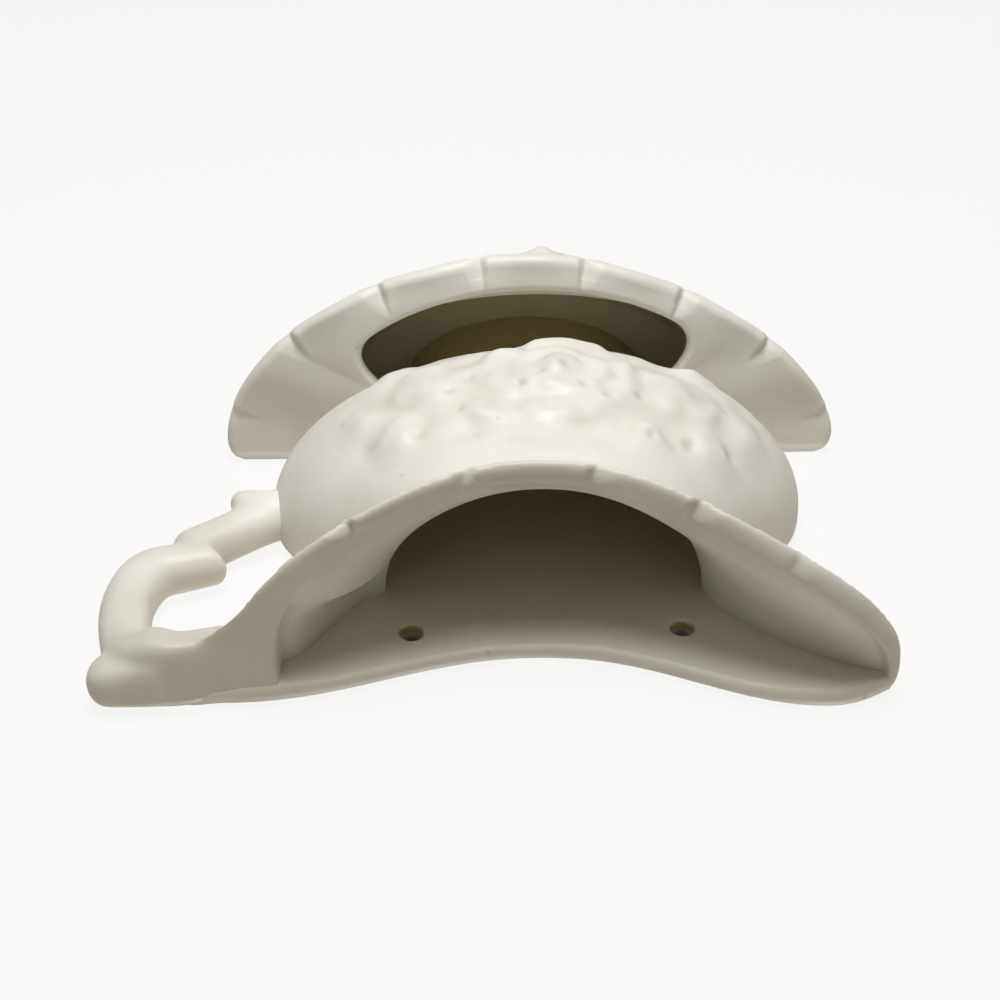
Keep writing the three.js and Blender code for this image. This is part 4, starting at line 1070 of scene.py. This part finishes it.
def twig_shape(start, reach, radius, taper, foot_flare=0.0, square=0.88):
    """A round twig with a blunt end, from a place (x, depth, z) along a reach, both in mm."""
    base = place(*(np.array([c], float) for c in start))[0]
    along = np.array((reach[0], -reach[1], reach[2])) * MM
    long = np.linalg.norm(along)
    ahead = along / long
    aside = np.cross(ahead, (0, -1, 0))
    aside /= np.linalg.norm(aside)
    over = np.cross(aside, ahead)
    tip = radius * taper * MM
    neck = 1 - tip / long

    def shape(v, turn):
        past = np.clip((v - TWIG_NECK) / (1 - TWIG_NECK), 0, 1) * math.pi / 2
        share = np.where(v > TWIG_NECK, mix(neck, 1, np.sin(past)), v / TWIG_NECK * neck)
        foot = foot_flare * np.clip(1 - share * long / MM / (3 * radius), 0, 1) ** 2
        wide = mix(radius * (1 + foot) * MM, tip, np.minimum(share / neck, 1)) * np.cos(past) ** 0.8
        wide = wide + bark(share * long / MM, turn) * MM * np.cos(past)
        beside, above = (wide * rounded_power(way(turn), square) for way in (np.cos, np.sin))
        skin = base + share[:, None] * along + beside[:, None] * aside + above[:, None] * over
        skin[:, 1] = np.minimum(skin[:, 1], -OFF_WALL * MM)
        return skin

    return shape


TWIGS = (
    ((62.0, 6.2, 86.0), (28.9, 0.0, 24.5), 5.9, 1.0, 0.25),  # into the belly
    ((60.0, 8.4, 91.0), (19.6, 1.8, -1.0), 4.6, 0.72, 0.0),  # stub beside the belly
    ((88.0, 7.2, 157.6), (16.8, -2.2, 1.2), 6.7, 0.84, 0.0, 0.66),  # cut end of the ledge
)
TUBES = [rolled(STEM_ROWS, STEM_SIDES, stem_shape)]
TUBES += [rolled(TWIG_ROWS, TWIG_SIDES, twig_shape(*twig)) for twig in TWIGS]
print("tubes:", len(TUBES))

# %% [markdown]
# A boolean would join the tubes with a hard line, but on the real piece slip and glaze fill every
# joint. So all of them go into one mesh, a voxel remesh fuses them, and a smooth draws the joints
# out into hollows. The lip is then fused to the handle in the same way.

# %% Lip and handle
JOINT_FROM, JOINT_TO, JOINT_ABOVE, JOINT_DEPTH, JOINT_SMOOTHING = 60.0, 80.0, 148.0, 8.0, 20
HANDLE_VOXEL, HANDLE_SMOOTHING = 0.65, 14
LIP_VOXEL, LIP_SMOOTHING = 0.65, 6
WALL_COVER = 3.0  # clay of the lip left between the handle's root and the mouth
PIT_HEIGHTS = NECK_HEIGHT + 8, NECK_HEIGHT + 26  # between them the mouth's handle end falls to its pit
MOUTH_MARGIN = 0.9 * WALL


def kept_in_wall(bm):
    """Move what would stand in the mouth back into the wall of the lip."""
    points = verts_of(bm)
    x, depth_in, z = measured(points)
    sunk = (HANDLE_END_DROP + HANDLE_END_PIT) * smoothstep(z, *PIT_HEIGHTS)
    up = np.clip((z + sunk - NECK_HEIGHT) / (saddle(x) - NECK_HEIGHT), 0, 1)
    share = (1 - (1 - up) ** (1 / FLARE_UP)) ** HANDLE_FLARE_INSIDE
    middle = LIP_SHIFT * share
    half = mix(NECK_HALF - WALL, LIP_HANDLE - HANDLE_END_WALL, share) + WALL_COVER
    depth = mix(NECK_DEPTH - WALL, LIP_DEPTH - LIP_WALL, share) - SEAT + WALL_COVER
    power = mix(2, MOUTH_FULLNESS, share)
    out = np.maximum(depth_in - SEAT, 0)
    reach = (np.abs((x - middle) / half) ** power + (out / depth) ** power) ** (1 / power)
    grow = np.where((reach < 1) & (z > NECK_HEIGHT), 1 / np.maximum(reach, 0.3), 1)
    points[:, 0] = (middle + (x - middle) * grow) * MM
    points[:, 1] = np.where(out > 0, -(SEAT + out * grow) * MM, points[:, 1])
    for vert, point in zip(bm.verts, points):
        vert.co = point
    return bm


def joined(*parts):
    """One bmesh of several, which are used up."""
    bm = bmesh.new()
    for part in parts:
        mesh = as_mesh("part", part)
        bm.from_mesh(mesh)
        bpy.data.meshes.remove(mesh)
    return bm


def slip_filled(bm):
    """Smooth the joint of lip and ledge once more, as slip fills it."""
    x, depth, z = measured(verts_of(bm))
    at_joint = (x > JOINT_FROM) & (x < JOINT_TO) & (z > JOINT_ABOVE) & (depth > JOINT_DEPTH)
    verts = [vert for vert, inside in zip(bm.verts, at_joint) if inside]
    for _ in range(JOINT_SMOOTHING):
        bmesh.ops.smooth_vert(bm, verts=verts, factor=0.5, use_axis_x=True, use_axis_y=True, use_axis_z=True)
    return bm


handle_soft = kept_in_wall(softened(joined(*TUBES), HANDLE_VOXEL, HANDLE_SMOOTHING))
lip_and_handle_bm = slip_filled(softened(joined(lip_bm, handle_soft), LIP_VOXEL, LIP_SMOOTHING))
fire("lip_and_handle", lip_and_handle_bm, "ivory_glaze",
     ("pitcher_lip", "handle_stem", "handle_knuckle", "twig_stub_upper", "twig_stub_lower"), lip_pool_and_shade,
     lambda points: ewer_painted_shade(points, MOUTH_MARGIN))

# %% [markdown]
# The flowers are pressed in a mould and lie under a thick glaze, so nothing on them is sharp.
# Each sprig is described by its height over a flat plan. A fine grid is laid on the clay, the
# highest sprig wins at each point, and the heights are blurred, as the glaze drowns them. The
# border of the sheet sinks just under the clay, so that no edge shows.

# %% Relief helpers
SHEET_LIFT, SHEET_SINK, SHEET_BASE = 0.1, 0.35, 2.2


def plan_of(surface, x, z):
    """Measures points in mm across and up from a place on a surface."""
    one = np.ones(1)
    turn = math.acos(x * MM / surface(0 * one, z * one)[0, 0])
    middle = surface(turn * one, z * one)[0]
    beside = (surface(turn - TINY * one, z * one) - surface(turn + TINY * one, z * one))[0]
    above = (surface(turn * one, z + TINY * one) - surface(turn * one, z - TINY * one))[0]

    def plan(points):
        away = (points - middle) / MM
        return away @ (beside / np.linalg.norm(beside)), away @ (above / np.linalg.norm(above))

    return plan


def drowned(heights, spacing, blur):
    """Heights on a grid, blurred by so many mm along both directions of the grid."""
    for axis, step in enumerate(spacing):
        reach = int(3 * blur / step) + 1
        bell = np.exp(-((np.arange(-reach, reach + 1) * step / blur) ** 2) / 2)
        padded = np.pad(heights, [(reach, reach) if i == axis else (0, 0) for i in (0, 1)], mode="edge")
        heights = np.apply_along_axis(np.convolve, axis, padded, bell / bell.sum(), mode="valid")
    return heights


def faded(x, z, middle, half):
    """How much of the relief shows inside an oval, and how much of the sheet lies on the clay."""
    reach = (((x - middle[0]) / half[0]) ** 4 + ((z - middle[1]) / half[1]) ** 4) ** 0.25
    return fading(reach, 0.6, 0.92), fading(reach, 0.72, 1.08)


def relief_sheet(surface, turns, heights, sprigs, ground, oval, blur):
    """A closed sheet over a range of turns and heights; sprigs are (x, z, lift of a plan)."""
    turns, heights = np.linspace(*turns), np.linspace(*heights)
    shape = (len(heights), len(turns))
    t, z = (grid.ravel() for grid in np.meshgrid(turns, heights))
    plain = surface(t, z)
    lift = np.zeros(len(t))
    for x, up, rise in sprigs:
        lift = np.maximum(lift, rise(*plan_of(surface, x, up)(plain)))
    rows, columns = plain.reshape(*shape, 3)[:, shape[1] // 2], plain.reshape(*shape, 3)[shape[0] // 2]
    spacing = [lengths(np.diff(line, axis=0)).mean() / MM for line in (rows, columns)]
    lift = drowned(lift.reshape(shape), spacing, blur).ravel()
    shown, laid = faded(plain[:, 0] / MM, z, *oval)
    lift = lift * shown
    base = ground(t, z)
    border = np.ones(shape)
    border[1:-1, 1:-1] = 0
    sunk = -SHEET_SINK * np.ones(len(t))
    top = np.where(border.ravel() > 0, sunk, mix(sunk, SHEET_LIFT + lift, laid)) + base
    under = np.where(border.ravel() > 0, sunk, -SHEET_BASE) + base
    upper, lower = surface(t, z, top).reshape(*shape, 3), surface(t, z, under).reshape(*shape, 3)
    both = np.concatenate((upper, lower[::-1]))
    last = np.array(both.shape[:2]) - 1
    return clay_sheet(last[1], last[0], lambda u, v: both[np.rint(v * last[0]).astype(int),
                                                          np.rint(u * last[1]).astype(int)])


print("one point of 1 mm, blurred by 1 mm:", drowned(np.eye(1, 9, 4), (1, 1), 1).round(2)[0])

# %% [markdown]
# A bloom has an outer and an inner ring of cupped petals round a rolled heart. Each petal rises
# towards its edge and hides the side of the next one.

# %% Roses
def petal(a, b, angle, inner, outer, spread, height):
    reach = np.hypot(a, b)
    turn = (np.arctan2(b, a) - angle + math.pi) % (2 * math.pi) - math.pi
    across = turn / spread
    edge = outer * (1 - 0.14 * across**2)
    far = np.clip((reach - inner) / np.maximum(edge - inner, 0.1), -1, 2)
    cup = height * (0.3 + 0.7 * np.clip(far, 0, 1) ** 1.3) * (1 - 0.22 * np.clip(across, -1, 1))
    fall = fading(far, 0.72, 1.02) * fading(np.abs(across), 0.7, 1.1)
    return cup * fall * smoothstep(far, -0.4, 0.1)


def rose(radius, relief, outer_petals, inner_tilt):
    """outer_petals: angle, reach as a share of the radius, and height as a share of the relief."""
    spread = 1.15 * math.pi / len(outer_petals)

    def lift(a, b):
        reach = np.hypot(a, b)
        rings = []
        for angle, share, high in outer_petals:
            rings.append(petal(a, b, angle, 0.42 * radius, share * radius, spread, high * relief))
        for k in range(4):
            angle = inner_tilt + k * math.pi / 2
            rings.append(petal(a, b, angle, 0.16 * radius, 0.56 * radius, 0.92, 0.86 * relief))
        heart = relief * (1 - 0.45 * smoothstep(reach, 0.05 * radius, 0.28 * radius))
        heart += 0.12 * relief * np.cos(np.arctan2(b, a) - 8 * reach / radius)
        rings.append(heart * fading(reach, 0.16 * radius, 0.34 * radius))
        return np.max(rings, axis=0) * fading(reach, 0.86 * radius, radius)

    return lift


def even_petals(count, tilt):
    return [(tilt + k * 2 * math.pi / count, 0.94, 0.6) for k in range(count)]


SAMPLE_AT = np.array((0.0, 4.0, 8.0))
print("a small bloom's height, mm:", rose(11, 2.6, even_petals(5, 0), 0)(SAMPLE_AT, 0 * SAMPLE_AT).round(2))

# %% [markdown]
# Rose leaves are pointed ovals with a sunk midrib and paired side veins, and a stalk is a round
# bead along a bowed line.

# %% Leaves and stalk
LEAF_RELIEF, FOLD_WIDTH = 2.0, 1.3


def leaf(length, width, heading, fold=0.7):
    ahead = (math.cos(heading), math.sin(heading))

    def lift(a, b):
        far = a * ahead[0] + b * ahead[1]
        aside = b * ahead[0] - a * ahead[1]
        share = np.clip(far / length, 0, 1)
        half = width / 2 * np.maximum(np.sin(math.pi * share**0.8), 0) ** 0.8 + 0.25
        across = np.abs(aside) / half
        arch = LEAF_RELIEF * mix(0.5, 1, np.sin(math.pi * share)) * (1 - 0.3 * np.minimum(across, 1) ** 2)
        rib = fold * np.exp(-((aside / FOLD_WIDTH) ** 2)) * (1 - 0.6 * share)
        veins = 0.2 * np.cos((far - 0.9 * np.abs(aside)) * 2 * math.pi / 4.2) * smoothstep(across, 0.1, 0.4)
        tip = smoothstep(np.abs(2 * far / length - 1), 0.8, 1.0)
        border = np.maximum(smoothstep(across, 0.5, 1.0), tip)
        return (arch - rib + veins) * (1 - border)

    return lift


def stalk(reach, bow, radius):
    run = np.array(reach, float)
    long = np.linalg.norm(run)
    aside = np.array((-run[1], run[0])) / long

    def lift(a, b):
        share = (a * run[0] + b * run[1]) / long**2
        off = a * aside[0] + b * aside[1] - bow * np.sin(math.pi * np.clip(share, 0, 1))
        bead = 1.2 * radius * np.sqrt(np.maximum(1 - (off / (1.5 * radius)) ** 2, 0))
        return bead * fading(np.abs(2 * share - 1), 0.9, 1.0)

    return lift


print("a leaf's height along its midrib, mm:", leaf(17, 12, 0)(SAMPLE_AT, 0 * SAMPLE_AT).round(2))

# %% [markdown]
# The spray on the belly is one large bloom with a smaller one at each side, and leaves between
# them. All of it is one sheet, because the glaze runs from one sprig over to the next.

# %% Pressed spray
SPRAY_BLUR, SPRAY_TURNS, SPRAY_HEIGHTS = 1.3, (0.3, 2.85, 280), (54, 122, 140)
SPRAY_OVAL = SPRAY_MIDDLE, (1.08 * SPRAY_HALF[0], SPRAY_HALF[1])
MAIN_PETALS = (
    (1.55, 1.0, 0.62), (0.5, 0.82, 0.5), (-0.5, 0.84, 0.55),
    (-1.72, 0.94, 0.95), (-2.65, 0.82, 0.6), (2.62, 0.82, 0.5),
)
SPRAY = (
    (-5, 87, rose(25, 4.4, MAIN_PETALS, 0.3)),
    (28, 87, rose(11, 2.6, even_petals(5, 0.4), 0.1)),
    (-36, 90, rose(11, 2.6, even_petals(5, 2.2), 0.6)),
    (39, 90, leaf(19, 13, 0.35)), (31, 98, leaf(18, 12, 0.9)),
    (32, 76, leaf(17, 12, -0.8)), (18, 99, leaf(17, 11, 2.45, 2.2)),
    (-47, 91, leaf(17, 12, 2.95)), (-38, 101, leaf(17, 12, 2.4)),
    (-38, 79, leaf(17, 12, -2.3)), (-21, 104, leaf(15, 11, 2.2)),
    (24, 58, stalk((-15, 5), 3, 1.3)),
)
SPRAY_NODES = ("rose_main", "rose_handle_side", "rose_spout_side", "spray_stem") + tuple(
    f"leaf_{side}_{k}" for side in ("handle", "spout") for k in (1, 2, 3, 4))

spray_bm = relief_sheet(ewer_surface, SPRAY_TURNS, SPRAY_HEIGHTS, SPRAY, belly_lift, SPRAY_OVAL, SPRAY_BLUR)
fire("pressed_spray", spray_bm, "relief_glaze", SPRAY_NODES, belly_pool_and_shade)

# %% [markdown]
# A smaller spray sits on the front of the basin, just under the rim, where only its top shows
# over the edge.

# %% Basin spray
BASIN_BLUR, BASIN_TURNS, BASIN_HEIGHTS = 1.7, (1.02, 2.2, 150), (12, 47, 80)
BASIN_OVAL = (-3, 30), (36, 17)
BASIN_POOL = 0.25
BASIN_SPRAY = (
    (-3, 33, rose(14, 6.4, even_petals(6, 1.57), 0.8)),
    (10, 23, leaf(18, 9, -0.3)),
    (-16, 23, leaf(18, 9, 3.44)),
)

basin_bm = relief_sheet(bowl_surface, BASIN_TURNS, BASIN_HEIGHTS, BASIN_SPRAY, lambda t, z: 0 * t,
                        BASIN_OVAL, BASIN_BLUR)
fire("basin_pressed_spray", basin_bm, "relief_glaze",
     ("basin_rose", "basin_leaf_handle", "basin_leaf_spout"),
     lambda points: BASIN_POOL * np.clip(lumps(points, LUMP_SIZE) + 0.3, 0, 1))

# %% [markdown]
# The pocket lies on its back on a plain white surface, lit softly from above, which here is the side away
# from the wall. The surface keeps a faint shadow: it is part diffuse and part plain white for the camera.
# Under the two screw holes it is only diffuse and painted nearly black, a painted shadow, so the holes stay
# dark.
# Seen from behind it is clear, and it lets light through to the face that touches it, so the flat
# back can be looked at.

# %% Surface
CLEAR_WITHIN = 0.004  # rays this short pass through the surface
WHITE = (1, 1, 1, 1)
# Under the screw holes the surface is painted nearly black, a painted shadow.
SURFACE_TONE, UNDER_HOLES_PAINTED_SHADOW = (0.7, 0.65, 0.58, 1), (0.12, 0.1, 0.06, 1)
SURFACE_SIZE, SURFACE_GAP = 3.0, 0.0006
WHITE_SHARE = 0.88  # the rest shows the shadow
PAINTED_SHADOW_REACH = 0.9  # round each hole, in diameters


def surface_material():
    material = bpy.data.materials.new("plain_surface")
    material.use_nodes = True
    tree = material.node_tree
    tree.nodes.remove(tree.nodes["Principled BSDF"])
    n = add_nodes(
        tree, diffuse="BsdfDiffuse", glow=("Emission", {"Color": WHITE}), path="LightPath", lit="MixShader",
        clear="BsdfTransparent", geometry="NewGeometry", sided="MixShader", axes="SeparateXYZ",
        folded="CombineXYZ", tone=("Mix RGBA", {COLOR_A: UNDER_HOLES_PAINTED_SHADOW, COLOR_B: SURFACE_TONE}),
        share=("Math MULTIPLY", {1: WHITE_SHARE}), beside="Math ABSOLUTE", plain="Math MULTIPLY",
        away=("VectorMath DISTANCE", {1: (HOLE_SPACING / 2 * MM, 0, 0)}),
        open_air=("Math GREATER_THAN", {1: PAINTED_SHADOW_REACH * HOLE_DIAMETER * MM}),
        short=("Math LESS_THAN", {1: CLEAR_WITHIN}), near="Math MULTIPLY", seen_through="Math MAXIMUM")
    n["out"] = tree.nodes["Material Output"]
    wire(tree, n, "geometry.Position > axes.Vector", "axes.X > beside.0", "beside.Value > folded.X",
         "axes.Z > folded.Z", "folded.Vector > away.0", "away.Value > open_air.0",
         "path.Is Camera Ray > share.0", "share.Value > plain.0", "open_air.Value > plain.1",
         "plain.Value > lit.Fac", "diffuse.BSDF > lit.1", "glow.Emission > lit.2",
         "open_air.Value > tone.Factor", "tone.2 > diffuse.Color", "path.Ray Length > short.0",
         "short.Value > near.0", "open_air.Value > near.1", "geometry.Backfacing > seen_through.0",
         "near.Value > seen_through.1", "seen_through.Value > sided.Fac", "lit.Shader > sided.1",
         "clear.BSDF > sided.2", "sided.Shader > out.Surface")
    return material


surface_bm = bmesh.new()
facing_out = Matrix.Translation((0, SURFACE_GAP, 0)) @ Matrix.Rotation(math.pi / 2, 4, "X")
bmesh.ops.create_grid(surface_bm, x_segments=4, y_segments=4, size=SURFACE_SIZE, matrix=facing_out)
surface_mesh = as_mesh("plain_surface", surface_bm)
surface_mesh.materials.append(surface_material())
plain_surface = linked("plain_surface", surface_mesh)
print("surface faces towards", tuple(round(c, 2) for c in surface_mesh.polygons[0].normal))

# %% [markdown]
# One lamp is a soft disk over the front. A second one lights the flat back alone, because the
# surface hides it from the rest. The world adds a little warm light from all sides.

# %% World and lamps
WARM_LIGHT, AMBIENT, MIRRORED = (1, 0.97, 0.92, 1), 0.15, 0.3
LAMPS = (  # name, place, aim, size and power
    ("lamp_above", (0.02, -0.72, -0.02), (0, 0, -0.05), 0.4, 4.55),
    ("lamp_behind", (-0.25, 0.8, 0.3), (0, 0, -0.06), 0.5, 3.0),
)


def world_light(level, mirrored):
    """Warm light from all sides, dimmer from the top of the wall, and plain white for the camera."""
    world = bpy.data.worlds.new("studio")
    world.use_nodes = True
    tree = world.node_tree
    n = add_nodes(
        tree, path="LightPath", strength=("MapRange", span(0, 1, level, mirrored)), way="TexCoord",
        axes="SeparateXYZ", side=("MapRange", span(-1, 1, level * 1.25, level * 0.75)),
        white=("Background", {"Color": WHITE}), seen="MixShader")
    n["light"], n["out"] = tree.nodes["Background"], tree.nodes["World Output"]
    n["light"].inputs["Color"].default_value = WARM_LIGHT
    wire(tree, n, "way.Generated > axes.Vector", "axes.Z > side.Value", "path.Is Glossy Ray > strength.Value",
         "side.Result > strength.To Min", "strength.Result > light.Strength",
         "path.Is Camera Ray > seen.Fac", "light.Background > seen.1", "white.Background > seen.2",
         "seen.Shader > out.Surface")
    bpy.context.scene.world = world


def soft_lamp(name, place_at, aim, size, power):
    lamp = bpy.data.lights.new(name, "AREA")
    lamp.shape = "DISK"
    lamp.size = size
    lamp.energy = power
    holder = linked(name, lamp)
    holder.location = place_at
    holder.rotation_euler = (Vector(aim) - Vector(place_at)).to_track_quat("-Z", "Y").to_euler()


world_light(AMBIENT, MIRRORED)
for lamp in LAMPS:
    soft_lamp(*lamp)
print("lamps:", [lamp[0] for lamp in LAMPS])
bpy.context.scene.view_settings.view_transform = "Standard"
